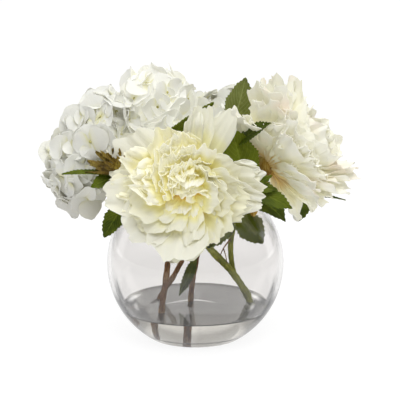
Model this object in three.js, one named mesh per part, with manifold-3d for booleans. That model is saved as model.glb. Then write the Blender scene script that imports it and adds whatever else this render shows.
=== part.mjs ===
// A floral table centrepiece: two cream peonies, three white hydrangea heads and their leaves, on cut stems
// that stand in clear water in a round glass bowl. Millimetres, +Z up, +Y away from the front, and the
// origin is the middle of the flat foot that the bowl stands on.

import * as THREE from "three";
import { mergeVertices } from "three/addons/utils/BufferGeometryUtils.js";
import Module from "manifold-3d";

const wasm = await Module();
wasm.setup();

// Driving dimensions of the bowl and the water.
const BOWL_RADIUS = 76;
const BOWL_CENTRE = 64;
const MOUTH_RADIUS = 50;
const WALL = 3;
const FLOOR = 6;
const WATER_LEVEL = 26.3;
const BOWL_SIDES = 28;

// Driving dimensions of the plants.
const PETAL_THICKNESS = 0.8;
const LEAF_THICKNESS = 0.8;
const FLORET_RADIUS = 16;
const FLORET_THICKNESS = 0.9;
const STALK_RADIUS = 1.8;
const STEM_SIDES = 6;
const PETIOLE_RADIUS = 1.1;
const PEONY_CORE_RADIUS = 13;

// What is smaller than this in a fused bloom is merged.
const FINE = 0.2;

// Room left between two pieces that touch, and the least room between two that only pass each other.
const SEAT_GAP = 0.3;
const CLEARANCE = 0.4;

const DEG = Math.PI / 180;

const FINISHES = {
  glass: { color: 0xf2f6f6, roughness: 0.02, metalness: 0, transparent: true, opacity: 0.3 },
  water: { color: 0xe6e9e6, roughness: 0.02, metalness: 0, transparent: true, opacity: 0.35 },
  hydrangea_petal: { color: 0xf0efe6, roughness: 0.75, metalness: 0 },
  peony_petal: { color: 0xf3efd3, roughness: 0.7, metalness: 0 },
  leaf: { color: 0x4d6a20, roughness: 0.6, metalness: 0 },
  woody_stem: { color: 0x5e4026, roughness: 0.8, metalness: 0 },
  green_stem: { color: 0x77801f, roughness: 0.7, metalness: 0 },
};

const vec = (x, y, z) => new THREE.Vector3(x, y, z);
const blend = THREE.MathUtils.lerp;

// An even scatter between -1 and 1 that is the same for the same two numbers.
function scatter(item, kind) {
  const wave = Math.sin(item * 12.9898 + kind * 78.233) * 43758.5453;
  return (wave - Math.floor(wave)) * 2 - 1;
}

// Solids: to and from three.js geometry.

function solidOf(geometry) {
  const bare = geometry.clone();
  bare.deleteAttribute("normal");
  bare.deleteAttribute("uv");
  const merged = mergeVertices(bare, 1e-4);
  const vertProperties = new Float32Array(merged.attributes.position.array);
  const triVerts = new Uint32Array(merged.index.array);
  const made = new wasm.Manifold(new wasm.Mesh({ numProp: 3, vertProperties, triVerts }));
  if (made.volume() > 0) return made;
  for (let i = 0; i < triVerts.length; i += 3) {
    [triVerts[i + 1], triVerts[i + 2]] = [triVerts[i + 2], triVerts[i + 1]];
  }
  return new wasm.Manifold(new wasm.Mesh({ numProp: 3, vertProperties, triVerts }));
}

function geometryOf(solid) {
  const mesh = solid.getMesh();
  const positions = new Float32Array(mesh.numVert * 3);
  for (let i = 0; i < mesh.numVert; i++) {
    positions.set(mesh.vertProperties.subarray(i * mesh.numProp, i * mesh.numProp + 3), i * 3);
  }
  const geometry = new THREE.BufferGeometry();
  geometry.setAttribute("position", new THREE.BufferAttribute(positions, 3));
  geometry.setIndex(new THREE.BufferAttribute(mesh.triVerts, 1));
  geometry.computeVertexNormals();
  return geometry;
}

// Joins solids, drops loose scraps, fills sealed hollows and merges what is smaller than fine.
function fuse(solids, fine = 0.02) {
  const joined = wasm.Manifold.union(solids).simplify(fine);
  const bodies = joined.decompose().filter((body) => body.volume() > 0);
  bodies.sort((a, b) => b.volume() - a.volume());
  return bodies[0];
}

function staysClear(solid, neighbours) {
  return neighbours.every((other) => solid.minGap(other, CLEARANCE + 0.1) >= CLEARANCE);
}

// The first of a few sizes and bends, in degrees, that keeps a piece clear of its neighbours, or null.
const TRIES = [
  [1, 0], [1, 8], [1, -8], [0.92, 0], [0.92, 14], [0.92, -14],
  [0.84, 0], [0.84, 18], [0.84, -18], [0.76, 0], [0.76, 24], [0.76, -24],
];

function firstClear(make, neighbours) {
  for (const [size, bend] of TRIES) {
    const piece = make(size, bend);
    if (staysClear(piece, neighbours)) return piece;
  }
  return null;
}

// A thin blade over surface(s, t), with s from 0 at the root to 1 at the tip and t from -1 to 1 across.
// Both faces are split alike.
function blade(surface, along, across, thickness) {
  const step = 1e-3;
  const faces = [[], []];
  for (let i = 0; i <= along; i++) {
    for (let j = 0; j <= across; j++) {
      const s = i / along;
      const t = (2 * j) / across - 1;
      const here = surface(s, t);
      const alongStep = surface(Math.min(s + step, 1), t).sub(surface(Math.max(s - step, 0), t));
      const acrossStep = surface(s, Math.min(t + step, 1)).sub(surface(s, Math.max(t - step, -1)));
      const normal = alongStep.cross(acrossStep).normalize();
      faces[0].push(here.clone().addScaledVector(normal, thickness / 2));
      faces[1].push(here.clone().addScaledVector(normal, -thickness / 2));
    }
  }
  const under = (along + 1) * (across + 1);
  const at = (i, j) => i * (across + 1) + j;
  const index = [];
  for (let i = 0; i < along; i++) {
    for (let j = 0; j < across; j++) {
      const [a, b, c, d] = [at(i, j), at(i + 1, j), at(i + 1, j + 1), at(i, j + 1)];
      index.push(a, b, c, a, c, d);
      index.push(under + a, under + c, under + b, under + a, under + d, under + c);
    }
  }
  const wall = (p, q) => index.push(p, under + p, under + q, p, under + q, q);
  for (let j = 0; j < across; j++) {
    wall(at(0, j + 1), at(0, j));
    wall(at(along, j), at(along, j + 1));
  }
  for (let i = 0; i < along; i++) {
    wall(at(i, 0), at(i + 1, 0));
    wall(at(i + 1, across), at(i, across));
  }
  const geometry = new THREE.BufferGeometry();
  geometry.setFromPoints([...faces[0], ...faces[1]]);
  geometry.setIndex(index);
  return geometry;
}

// The bowl and the water.

// A solid of revolution about Z through profile points [radius, height].
function turned(profile, sides) {
  const points = profile.map(([r, z]) => new THREE.Vector2(r, z));
  return solidOf(new THREE.LatheGeometry(points, sides).rotateX(Math.PI / 2));
}

// Points on a ball's outline from one height to another, ends included.
function ballOutline(radius, fromHeight, toHeight, steps) {
  const from = Math.acos((BOWL_CENTRE - fromHeight) / radius);
  const to = Math.acos((BOWL_CENTRE - toHeight) / radius);
  return Array.from({ length: steps + 1 }, (_, i) => {
    const angle = blend(from, to, i / steps);
    return [radius * Math.sin(angle), BOWL_CENTRE - radius * Math.cos(angle)];
  });
}

const OUTER_RIM = BOWL_CENTRE + Math.sqrt(BOWL_RADIUS ** 2 - MOUTH_RADIUS ** 2);
const INSIDE = BOWL_RADIUS - WALL;
const INNER_RIM = BOWL_CENTRE + ((OUTER_RIM - BOWL_CENTRE) * INSIDE) / BOWL_RADIUS;

function makeBowl() {
  const lipRadius = (MOUTH_RADIUS * (BOWL_RADIUS + INSIDE)) / BOWL_RADIUS / 2;
  const lip = [lipRadius, (OUTER_RIM + INNER_RIM) / 2 + 1];
  const outside = ballOutline(BOWL_RADIUS, 0, OUTER_RIM, 8);
  const inside = ballOutline(INSIDE, INNER_RIM, FLOOR, 7);
  return turned([[0, 0], ...outside, lip, ...inside, [0, FLOOR]], BOWL_SIDES);
}

// The water fills the bowl's inside up to its level, a seat gap short of the glass.
function makeWater(stems) {
  const inside = ballOutline(INSIDE, FLOOR, INNER_RIM, 7);
  const shrink = 1 - SEAT_GAP / INSIDE;
  const cavity = turned([[0, FLOOR], ...inside, [0, INNER_RIM]], BOWL_SIDES)
    .translate([0, 0, -BOWL_CENTRE])
    .scale([shrink, shrink, shrink])
    .translate([0, 0, BOWL_CENTRE])
    .trimByPlane([0, 0, 1], FLOOR + SEAT_GAP)
    .trimByPlane([0, 0, -1], -WATER_LEVEL);
  return fuse([cavity.subtract(wasm.Manifold.union(stems.map((stem) => stem.room)))], 0.05);
}

// Stems. Each is a tube along a smooth curve, with a room around it that other pieces keep.

function tube(points, radius, steps, sides = STEM_SIDES) {
  const outline = new THREE.Shape(
    Array.from({ length: sides }, (_, i) => {
      const turn = (i / sides) * 2 * Math.PI;
      return new THREE.Vector2(radius * Math.cos(turn), radius * Math.sin(turn));
    }),
  );
  const extrudePath = new THREE.CatmullRomCurve3(points.map((p) => vec(...p)));
  return solidOf(new THREE.ExtrudeGeometry(outline, { steps, extrudePath, bevelEnabled: false }));
}

// A room around a tube: a little wider, and a little longer at both ends.
function roomAround(points, radius, steps) {
  const wide = SEAT_GAP / Math.cos(Math.PI / STEM_SIDES);
  const caps = [points.slice(0, 2), points.slice(-2).reverse()].map(([end, next]) => {
    const along = vec(...end).sub(vec(...next)).normalize();
    const from = vec(...end).addScaledVector(along, -0.6);
    const to = vec(...end).addScaledVector(along, SEAT_GAP + 0.1);
    return tube([from.toArray(), to.toArray()], radius + 3 * wide, 1);
  });
  return wasm.Manifold.union([tube(points, radius + wide, steps), ...caps]);
}

// A stem of one or more runs, each a list of points, a radius and a number of steps.
function makeStem(runs) {
  return {
    solid: fuse(runs.map((run) => tube(...run))),
    room: wasm.Manifold.union(runs.map((run) => roomAround(...run))),
  };
}

// The woody stems of the three hydrangea heads, the first with a side branch, and the forked green stem of
// the two peonies.
const STEM_RUNS = {
  stem_hydrangea_left: [
    [[[-30, -31, 9], [-28, -22, 32], [-23.5, -6, 70], [-27, 2, 104], [-44, 2, 130], [-70, -1, 150]], 2.6, 10],
    [[[-44, 2, 130], [-58, -9, 146], [-69, -14, 160]], 1.6, 3],
  ],
  stem_hydrangea_top: [
    [
      [[-38, 15, 13], [-31, 16, 28], [-17, 19, 50], [-7, 21, 74], [-6, 22, 118], [-18, 23, 148], [-24, 24, 172]],
      2.2,
      10,
    ],
  ],
  stem_hydrangea_back: [
    [[[-5, 8, 9], [-3, 10, 40], [4, 13, 80], [11, 28, 118], [19, 50, 148]], 2.3, 8],
  ],
  stem_peonies: [
    [[[50, 7, 16.5], [46, 6, 31], [31.6, 0, 55], [10, -19, 84], [-2, -36, 114], [-5.5, -46, 134]], 3.1, 10],
    [[[34, 1, 51], [31, 3, 66], [31, 5, 84], [41, 4, 116], [57, 2, 138], [64, 0.5, 148]], 2.3, 8],
  ],
};

// Petals. A bloom's own frame has its origin at the root of the petals, and its third axis out of its face.

// The frame of a bloom that stands at a place and faces a way, with its second axis as near upright as it goes.
function bloomFrame(place, facing) {
  const out = vec(...facing).normalize();
  const up = vec(0, 0, 1).addScaledVector(out, -out.z).normalize();
  const right = up.clone().cross(out);
  return new THREE.Matrix4().makeBasis(right, up, out).setPosition(...place);
}

function moved(solid, matrix) {
  return solid.transform(matrix.elements);
}

// A petal's surface. azimuth is its direction round the bloom, and open its angles from the bloom's axis at
// root and tip, both in degrees. Its root stands root millimetres off the axis and lift above the bloom's
// origin. cup is the angle, in radians, that each side bends inwards, wave the depth of its ruffles, and lap
// the slope that lays one edge over the next petal.
function petalSurface({ azimuth, length, width, open, cup, wave, phase, root, lift, lap = 0.16 }) {
  const outward = vec(Math.cos(azimuth * DEG), Math.sin(azimuth * DEG), 0);
  const sideways = vec(-outward.y, outward.x, 0);
  const start = open[0] * DEG;
  const turn = (open[1] - open[0]) * DEG || 1e-6;
  return (s, t) => {
    const along = s * (1 - 0.2 * t * t + 0.04 * Math.cos(7 * t + phase));
    const angle = start + turn * along;
    const radius = root + (length * (Math.cos(start) - Math.cos(angle))) / turn;
    const height = lift + (length * (Math.sin(angle) - Math.sin(start))) / turn;
    const spread = 0.14 + 0.86 * Math.sin((Math.PI / 2) * Math.min(1, along / 0.7)) ** 1.4;
    const half = width * spread * (1 - 0.2 * Math.max(0, (along - 0.7) / 0.3) ** 2);
    const across = (half * Math.sin(cup * t)) / cup;
    const ruffle = wave * along ** 2 * Math.sin(4.4 * t + phase) * (0.4 + 0.6 * Math.abs(t));
    const inwards = (half * (1 - Math.cos(cup * t))) / cup + ruffle + lap * half * t;
    return outward
      .clone()
      .multiplyScalar(radius - inwards * Math.cos(angle))
      .addScaledVector(sideways, across)
      .add(vec(0, 0, height + inwards * Math.sin(angle)));
  };
}

// A peony's inner petal rows from the outside in: how many, the first one's azimuth, where their roots stand,
// what each petal is like, and how finely it is split along and across.
function innerRow(count, first, [root, lift], [length, width], open, [cup, wave], split) {
  return { count, first, root, lift, length, width, open, cup, wave, split };
}

const INNER_ROWS = [
  innerRow(7, 20, [7, 4], [44, 18], [54, 58], [0.5, 2.4], [2, 3]),
  innerRow(6, 0, [6, 8], [38, 14], [34, 36], [0.55, 2], [2, 3]),
  innerRow(4, 30, [4, 9], [33, 11], [18, 14], [0.6, 1.5], [3, 2]),
  innerRow(2, 10, [2, 10], [26, 8], [6, -6], [0.6, 1], [2, 2]),
];

// The outer petals of each peony, as azimuth, length, half width, angles from the axis, cup and ruffle.
const FRONT_OUTER = [
  [78, 66, 14, 82, 90, 1.1, 1.5],
  [57, 70, 16, 96, 98, 0.5, 2],
  [13, 58, 17, 76, 80, 0.5, 3.5],
  [2, 57, 19, 72, 84, 0.5, 3.5],
  [-28, 54, 20, 68, 74, 0.5, 3.5],
  [-60, 50, 19, 58, 66, 0.5, 3],
  [-100, 62, 26, 55, 60, 0.5, 2.5],
  [-143, 60, 23, 66, 70, 0.5, 3.5],
  [-176, 66, 20, 72, 76, 0.5, 3.5],
  [152, 69, 21, 94, 97, 0.5, 2],
  [120, 52, 18, 82, 86, 0.6, 3],
  [100, 46, 14, 70, 74, 0.6, 3],
];
const RIGHT_OUTER = [
  [97, 64, 21, 84, 86, 0.5, 2.5],
  [74, 77, 21, 66, 62, 0.5, 3],
  [120, 76, 25, 54, 52, 0.6, 3],
  [38, 68, 22, 68, 68, 0.5, 3.5],
  [6, 62, 22, 72, 72, 0.5, 3],
  [-26, 62, 22, 70, 68, 0.5, 3],
  [-58, 60, 21, 64, 60, 0.5, 3],
  [-92, 50, 20, 86, 92, 0.5, 3],
  [-122, 58, 23, 62, 60, 0.6, 2.5],
  [-152, 62, 26, 50, 44, 0.8, 2.5],
  [175, 66, 26, 52, 44, 0.8, 2.5],
  [148, 70, 26, 56, 50, 0.7, 3],
];

const PEONIES = {
  peony_front: { place: [-6, -50, 139], facing: [-0.05, -0.99, 0.13], outer: FRONT_OUTER, seed: 1, stretch: 1 },
  peony_right: { place: [62, 0, 150], facing: [0.86, -0.07, 0.5], outer: RIGHT_OUTER, seed: 2, stretch: 1.5 },
};

function peonyPetals({ outer, seed, stretch }) {
  const petals = outer.map(([azimuth, length, width, first, last, cup, wave], i) => {
    const phase = 3 * scatter(seed, i);
    return { azimuth, length, width, open: [first, last], cup, wave, phase, root: 5, lift: -1, split: [3, 3] };
  });
  INNER_ROWS.forEach((row, level) => {
    for (let i = 0; i < row.count; i++) {
      const item = seed * 100 + level * 20 + i;
      petals.push({
        ...row,
        azimuth: row.first + (360 * i) / row.count + 7 * scatter(item, 1),
        length: row.length * stretch * (1 + 0.08 * scatter(item, 2)),
        width: row.width * Math.sqrt(stretch),
        open: row.open.map((angle) => angle / Math.sqrt(stretch) + 5 * scatter(item, 3)),
        phase: 3 * scatter(item, 4),
      });
    }
  });
  return petals;
}

// A peony's petals on their core, with a socket for the stem.
function makePeony(settings, stem, neighbours) {
  const frame = bloomFrame(settings.place, settings.facing);
  const core = moved(solidOf(new THREE.SphereGeometry(PEONY_CORE_RADIUS, 9, 6)), frame);
  const petals = peonyPetals(settings).map((petal) =>
    firstClear((size, bend) => {
      const open = petal.open.map((angle) => angle + bend);
      const surface = petalSurface({ ...petal, open, length: petal.length * size });
      return moved(solidOf(blade(surface, ...petal.split, PETAL_THICKNESS)), frame);
    }, neighbours),
  );
  return fuse([fuse([core, ...petals.filter(Boolean)]).subtract(stem.room)], FINE);
}

// Hydrangea heads: florets with four rounded petals, on short stalks from a smaller core. lean is the angle,
// in degrees, by which the top of the head leans to the right.

function flowerHead(centre, radii, lean, stemWay, florets, seed) {
  return { centre, radii, lean, stemWay, florets, seed };
}

const HEADS = {
  hydrangea_left: flowerHead([-85, -4, 162], [42.5, 42, 58], 25, [0.5, 0, -0.6], 30, 11),
  hydrangea_top: flowerHead([-34, 26, 190], [40, 40, 45], 0, [0.1, 0, -1], 23, 12),
  hydrangea_back: flowerHead([26, 62, 163], [43, 42, 43], 0, [-0.3, -0.6, -0.7], 22, 13),
};

// A floret, centred on the origin and facing +Z: a plate of four blunt petals, domed like the head that it
// lies on, with a square stalk below it.
function floretShape(radius, headRadius, stalk, item) {
  const rim = [];
  for (let petal = 0; petal < 4; petal++) {
    for (const [turn, reach] of [[-45, 0.42], [-22, 0.97], [22, 0.97]]) {
      const angle = (90 * petal + turn) * DEG;
      const far = radius * reach * (1 + 0.05 * scatter(item, petal + 10));
      rim.push(vec(far * Math.cos(angle), far * Math.sin(angle), (-far * far) / (2 * headRadius)));
    }
  }
  const lower = rim.map((p) => p.clone().setZ(p.z - FLORET_THICKNESS));
  const square = (depth) => [0, 3, 6, 9].map((i) => lower[i].clone().setLength(STALK_RADIUS).setZ(-depth));
  const points = [vec(0, 0, 0), ...rim, ...lower, ...square(FLORET_THICKNESS + 0.3), ...square(stalk)];
  const [under, neck, foot] = [13, 25, 29];
  const index = [];
  for (let i = 0; i < 12; i++) {
    const [a, b] = [1 + i, 1 + ((i + 1) % 12)];
    index.push(0, a, b, a, a + 12, b + 12, a, b + 12, b);
  }
  for (let petal = 0; petal < 4; petal++) {
    const next = (petal + 1) % 4;
    const edge = [0, 1, 2, 3].map((i) => under + ((3 * petal + i) % 12));
    const [a, b] = [neck + petal, neck + next];
    index.push(a, edge[1], edge[0], a, edge[2], edge[1], a, b, edge[2], b, edge[3], edge[2]);
    index.push(a, foot + petal, foot + next, a, foot + next, b);
  }
  index.push(foot, foot + 3, foot + 2, foot, foot + 2, foot + 1);
  return new THREE.BufferGeometry().setFromPoints(points).setIndex(index);
}

// Places on a head for its florets: evenly spread, less those where the stem comes in.
function floretPlaces({ centre, radii, lean, stemWay, florets, seed }) {
  const inwards = vec(...stemWay).normalize();
  const leant = (offset) => offset.applyAxisAngle(vec(0, 1, 0), lean * DEG);
  const total = Math.round(florets * 1.15);
  const places = [];
  for (let i = 0; i < total; i++) {
    const height = 1 - (2 * (i + 0.5)) / total;
    const azimuth = i * 137.508 * DEG + seed;
    const ring = Math.sqrt(1 - height * height);
    const way = vec(ring * Math.cos(azimuth), ring * Math.sin(azimuth), height);
    if (leant(way.clone()).dot(inwards) > 0.75) continue;
    const item = seed * 100 + i;
    const place = vec(...centre).add(leant(way.clone().multiply(vec(...radii))));
    const facing = leant(way.clone().divide(vec(...radii))).normalize();
    facing.add(vec(scatter(item, 51), scatter(item, 52), scatter(item, 53)).multiplyScalar(0.03)).normalize();
    places.push({ place, facing, item });
  }
  return places;
}

function headCore({ centre, radii, lean }) {
  const small = radii.map((r) => r - FLORET_RADIUS);
  return solidOf(new THREE.IcosahedronGeometry(1, 1).scale(...small).rotateY(lean * DEG).translate(...centre));
}

// Florets lie in layers: each takes the outermost layer where it crosses none of its neighbours.
const LAYERS = [0, 2.2, 4.4, 6.6, 3.3, 5.5, 8.8];

function makeHead(settings, stem, neighbours) {
  const headRadius = Math.cbrt(settings.radii[0] * settings.radii[1] * settings.radii[2]);
  const core = headCore(settings);
  const florets = [];
  for (const { place, facing, item } of floretPlaces(settings)) {
    const made = (size, depth) => {
      const seat = place.clone().addScaledVector(facing, -depth);
      const frame = bloomFrame(seat.toArray(), facing.toArray());
      const shape = floretShape(FLORET_RADIUS * size, headRadius - depth, FLORET_RADIUS + 4 - depth, item);
      return moved(solidOf(shape.rotateZ(3 * scatter(item, 54))), frame);
    };
    const crossings = (floret) => florets.filter((other) => floret.intersect(other).volume() > 0).length;
    let best = null;
    for (const size of [1, 0.85, 0.7]) {
      for (const depth of LAYERS) {
        const floret = made(size, depth);
        if (!staysClear(floret, neighbours)) continue;
        const score = crossings(floret);
        if (!best || score < best.score) best = { floret, score };
        if (!score) break;
      }
      if (best) break;
    }
    if (best) florets.push(best.floret);
  }
  return fuse([fuse([core, ...florets]).subtract(stem.room)], FINE);
}

// Leaves.

// A leaf blade's surface from base to tip. up is the way its upper face looks, bend how far its middle is
// lifted off the straight line, fold the rise of its edges, and teeth the number of saw teeth on each edge.
function leafSurface({ base, tip, up, width, teeth, bend = 2, fold = 0.2 }) {
  const start = vec(...base);
  const spine = vec(...tip).sub(start);
  const ahead = spine.clone().normalize();
  const side = vec(...up).normalize().cross(ahead).normalize();
  const face = ahead.clone().cross(side);
  return (s, t) => {
    const taper = Math.sin(Math.PI * (0.04 + 0.94 * s) ** 0.86) ** 0.8;
    const tooth = Math.abs(Math.cos(Math.PI * teeth * s) * t);
    const half = width * taper * (1 - 0.14 * tooth);
    return start
      .clone()
      .addScaledVector(spine, s - 0.02 * tooth)
      .addScaledVector(side, -half * t)
      .addScaledVector(face, bend * Math.sin(Math.PI * s) + fold * half * Math.abs(t));
  };
}

// Each leaf: the stem it grows from, the points its stalk passes, and its blades. The first blade goes on from
// the stalk's last point, and the others share that base unless they have their own.
const LEAVES = {
  leaf_top: {
    stem: "stem_peonies",
    stalk: [[37, 4.5, 105], [33, 14, 140], [31.3, 20, 176.8]],
    blades: [{ tip: [43.0, 16, 221.7], up: [0.35, 1, 0.1], width: 12 }],
  },
  leaf_behind_front: {
    stem: "stem_hydrangea_top",
    stalk: [[-8, 22, 124], [-20, -6, 150], [-28, -24, 175]],
    blades: [{ tip: [15.6, -20, 206.2], up: [0.4, -0.8, -0.5], width: 10 }],
  },
  leaf_middle: {
    stem: "stem_peonies",
    stalk: [[39, 4, 112], [40, -7, 124], [41.9, -14, 137.2], [35.5, -18, 171]],
    blades: [
      { base: [41.9, -14.5, 137.2], tip: [30, -25, 186], up: [0.1, -1, 0.1], width: 16 },
      { tip: [62, -42, 192.5], up: [-0.2, -0.45, 0.9], width: 8 },
    ],
  },
  leaf_right_lobed: {
    stem: "stem_peonies",
    stalk: [[43.5, 3.7, 120], [47, -18, 134], [45.4, -41, 137.5]],
    blades: [
      { tip: [80, -48, 122], up: [0.2, -0.9, 0.5], width: 9 },
      { tip: [63.4, -44, 149], up: [0.2, -0.9, 0.5], width: 5 },
      { tip: [67.5, -47, 138], up: [0.2, -0.9, 0.5], width: 6 },
    ],
  },
  leaf_right_broad: {
    stem: "stem_peonies",
    stalk: [[36.5, 4.3, 104], [40, -8, 118], [43.5, -14, 124.5]],
    blades: [{ tip: [73, -31, 109.4], up: [0.5, -0.6, 0.6], width: 11.5, bend: 5 }],
  },
  leaf_right_low: {
    stem: "stem_peonies",
    stalk: [[51, 2.6, 132], [68, 18, 121], [90.5, 25, 115.8]],
    blades: [
      { tip: [89.8, 22, 94.6], up: [0.3, -1, 0], width: 10 },
      { tip: [130.5, 20, 114.3], up: [0, -0.2, 1], width: 3.5 },
    ],
  },
  leaf_bowl_broad: {
    stem: "stem_peonies",
    stalk: [[33, 4.8, 94], [34, -4, 103], [36.5, -10, 107]],
    blades: [{ tip: [57, -17, 84.5], up: [0.3, -1, 0.1], width: 12 }],
  },
  leaf_bowl_fork: {
    stem: "stem_peonies",
    stalk: [[31.6, 5, 88], [31.5, -6, 97], [31.1, -16, 102]],
    blades: [{ tip: [9.9, -31, 84], up: [0.2, -0.8, 0.5], width: 8 }],
  },
  leaf_stem_low: {
    stem: "stem_hydrangea_back",
    stalk: [[3.2, 12.7, 76], [1.5, 8, 70], [0, 5, 66.5]],
    blades: [{ tip: [-14.2, 0, 33.4], up: [0.2, -1, 0], width: 5.5 }],
  },
  leaf_left: {
    stem: "stem_hydrangea_left",
    stalk: [[-44, 2, 130], [-54, -20, 141], [-64.7, -34, 146.5]],
    blades: [
      { tip: [-109.1, -50, 151.5], up: [-0.1, -0.3, 1], width: 6 },
      { tip: [-85.5, -48, 140], up: [0, -0.9, 0.5], width: 8 },
    ],
  },
  leaf_left_low: {
    stem: "stem_hydrangea_left",
    stalk: [[-36.5, 2.4, 120.5], [-48, -14, 128], [-59, -29, 121]],
    blades: [{ tip: [-76.3, -34, 94], up: [-0.3, -0.9, 0.4], width: 10 }],
  },
  leaf_back_left: {
    stem: "stem_hydrangea_top",
    stalk: [[-6, 21.8, 112], [-22, 44, 130], [-34, 60, 138]],
    blades: [{ tip: [-58, 84, 124], up: [-0.3, 0.5, 0.8], width: 14, bend: 4 }],
  },
  leaf_back_right: {
    stem: "stem_hydrangea_back",
    stalk: [[8.5, 22, 106], [27, 33, 124], [50, 44, 124]],
    blades: [{ tip: [82, 60, 105], up: [0.3, 0.4, 0.85], width: 13, bend: 4 }],
  },
};

function makeLeaf({ stalk, blades, stem }, stems) {
  const last = stalk[stalk.length - 1];
  const surfaces = blades.map((settings) => {
    const teeth = settings.width < 9.5 ? 2 : 3;
    return { teeth, surface: leafSurface({ base: last, teeth, ...settings }) };
  });
  const solids = surfaces.map(({ teeth, surface }) => solidOf(blade(surface, 2 * teeth, 2, LEAF_THICKNESS)));
  const sunk = surfaces[surfaces.length > 1 && blades[0].base ? 1 : 0].surface(0.15, 0).toArray();
  return fuse([fuse([tube([...stalk, sunk], PETIOLE_RADIUS, 3, 4), ...solids]).subtract(stems[stem].room)]);
}

// The whole piece.

function mesh(name, solid, finish, group) {
  const made = new THREE.Mesh(geometryOf(solid), new THREE.MeshStandardMaterial(FINISHES[finish]));
  made.name = name;
  group.add(made);
}

function centrepiece() {
  const group = new THREE.Group();
  const stems = Object.fromEntries(Object.entries(STEM_RUNS).map(([name, runs]) => [name, makeStem(runs)]));
  const bowl = makeBowl();
  mesh("glass_bowl", bowl, "glass", group);
  mesh("water", makeWater(Object.values(stems)), "water", group);
  for (const [name, stem] of Object.entries(stems)) {
    mesh(name, stem.solid, name === "stem_peonies" ? "green_stem" : "woody_stem", group);
  }
  const placed = [];
  const neighboursOf = (own) => {
    const otherStems = Object.values(stems).filter((stem) => stem !== own);
    return [bowl, ...otherStems.map((stem) => stem.solid), ...placed];
  };
  for (const [name, settings] of Object.entries(PEONIES)) {
    const petals = makePeony(settings, stems.stem_peonies, neighboursOf(stems.stem_peonies));
    placed.push(petals);
    mesh(name, petals, "peony_petal", group);
  }
  for (const [name, settings] of Object.entries(LEAVES)) {
    const leaf = makeLeaf(settings, stems);
    placed.push(leaf);
    mesh(name, leaf, "leaf", group);
  }
  const cores = Object.fromEntries(Object.entries(HEADS).map(([name, settings]) => [name, headCore(settings)]));
  for (const [name, settings] of Object.entries(HEADS)) {
    const stem = stems["stem_" + name];
    delete cores[name];
    const head = makeHead(settings, stem, [...neighboursOf(stem), ...Object.values(cores)]);
    placed.push(head);
    mesh(name, head, "hydrangea_petal", group);
  }
  return group;
}

export default centrepiece();
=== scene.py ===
"""The looks of a floral table centrepiece: two cream peonies, three white hydrangea heads and their leaves, on
cut stems that stand in clear water in a round glass bowl.

Sizes are in millimetres and angles in degrees until a mesh is made, which is in metres, in the solids' own frame:
+Z up, +Y away from the front, and the origin in the middle of the bowl's flat foot.
"""

from __future__ import annotations

import logging
from dataclasses import dataclass
from enum import Enum
from math import cos, pi, radians, sin, sqrt, tan

import bpy
import numpy as np
from bpy.types import Material, Node, NodeSocket, Object
from mathutils import Matrix, Vector

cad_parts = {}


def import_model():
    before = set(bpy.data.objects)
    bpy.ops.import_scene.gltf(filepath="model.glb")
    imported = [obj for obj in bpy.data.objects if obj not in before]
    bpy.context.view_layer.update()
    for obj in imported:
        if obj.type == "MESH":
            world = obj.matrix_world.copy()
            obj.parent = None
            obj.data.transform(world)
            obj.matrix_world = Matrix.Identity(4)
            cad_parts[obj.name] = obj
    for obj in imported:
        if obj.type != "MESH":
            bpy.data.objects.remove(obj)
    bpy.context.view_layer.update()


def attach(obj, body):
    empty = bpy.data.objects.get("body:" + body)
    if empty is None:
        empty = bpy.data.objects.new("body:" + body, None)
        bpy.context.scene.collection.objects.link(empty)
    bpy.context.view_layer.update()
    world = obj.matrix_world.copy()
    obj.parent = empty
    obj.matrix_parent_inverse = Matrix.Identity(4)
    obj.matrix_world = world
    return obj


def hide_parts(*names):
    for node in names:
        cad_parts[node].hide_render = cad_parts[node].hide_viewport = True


MM = 0.001
BODY = "root"
LOG = logging.getLogger("centrepiece")
GOLDEN_ANGLE = 137.508
BLOOM_ITEMS = 100
CURVE_STEPS = 40
SMALL_STOCK = (8, 6)


class Slot(Enum):
    """The record's material slots."""

    GLASS = "glass"
    WATER = "water"
    HYDRANGEA = "hydrangea_petal"
    PEONY = "peony_petal"
    LEAF = "leaf"
    WOOD = "woody_stem"
    GREEN = "green_stem"


def scatter(item: float, kind: float) -> float:
    """An even scatter from -1 to 1 for a measure's kind in a repeated item, the same as in the solids."""
    wave = sin(item * 12.9898 + kind * 78.233) * 43758.5453
    return wave % 1.0 * 2 - 1


def unit(way: np.ndarray | tuple) -> np.ndarray:
    """A direction made one long."""
    way = np.asarray(way, float)
    return way / np.linalg.norm(way)


@dataclass(frozen=True)
class Placing:
    """A place and the three axes of what grows there, the third out of its face."""

    place: np.ndarray
    axes: np.ndarray

    @classmethod
    def facing(cls, place: tuple, way: tuple, turn: float = 0.0) -> Placing:
        """The frame of a bloom, with its second axis as near upright as it goes.

        Args:
            place: the bloom's origin.
            way: the way that it faces.
            turn: a turn about that way, in radians.

        Returns:
            The frame.
        """
        out = unit(way)
        up = unit(np.array([0.0, 0.0, 1.0]) - out * out[2])
        right = np.cross(up, out)
        side = right * cos(turn) + up * sin(turn)
        return cls(np.asarray(place, float), np.stack([side, np.cross(out, side), out]))

    def apply(self, points: np.ndarray) -> np.ndarray:
        """Points in this frame as points in the whole piece's frame."""
        return self.place + points @ self.axes


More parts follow.
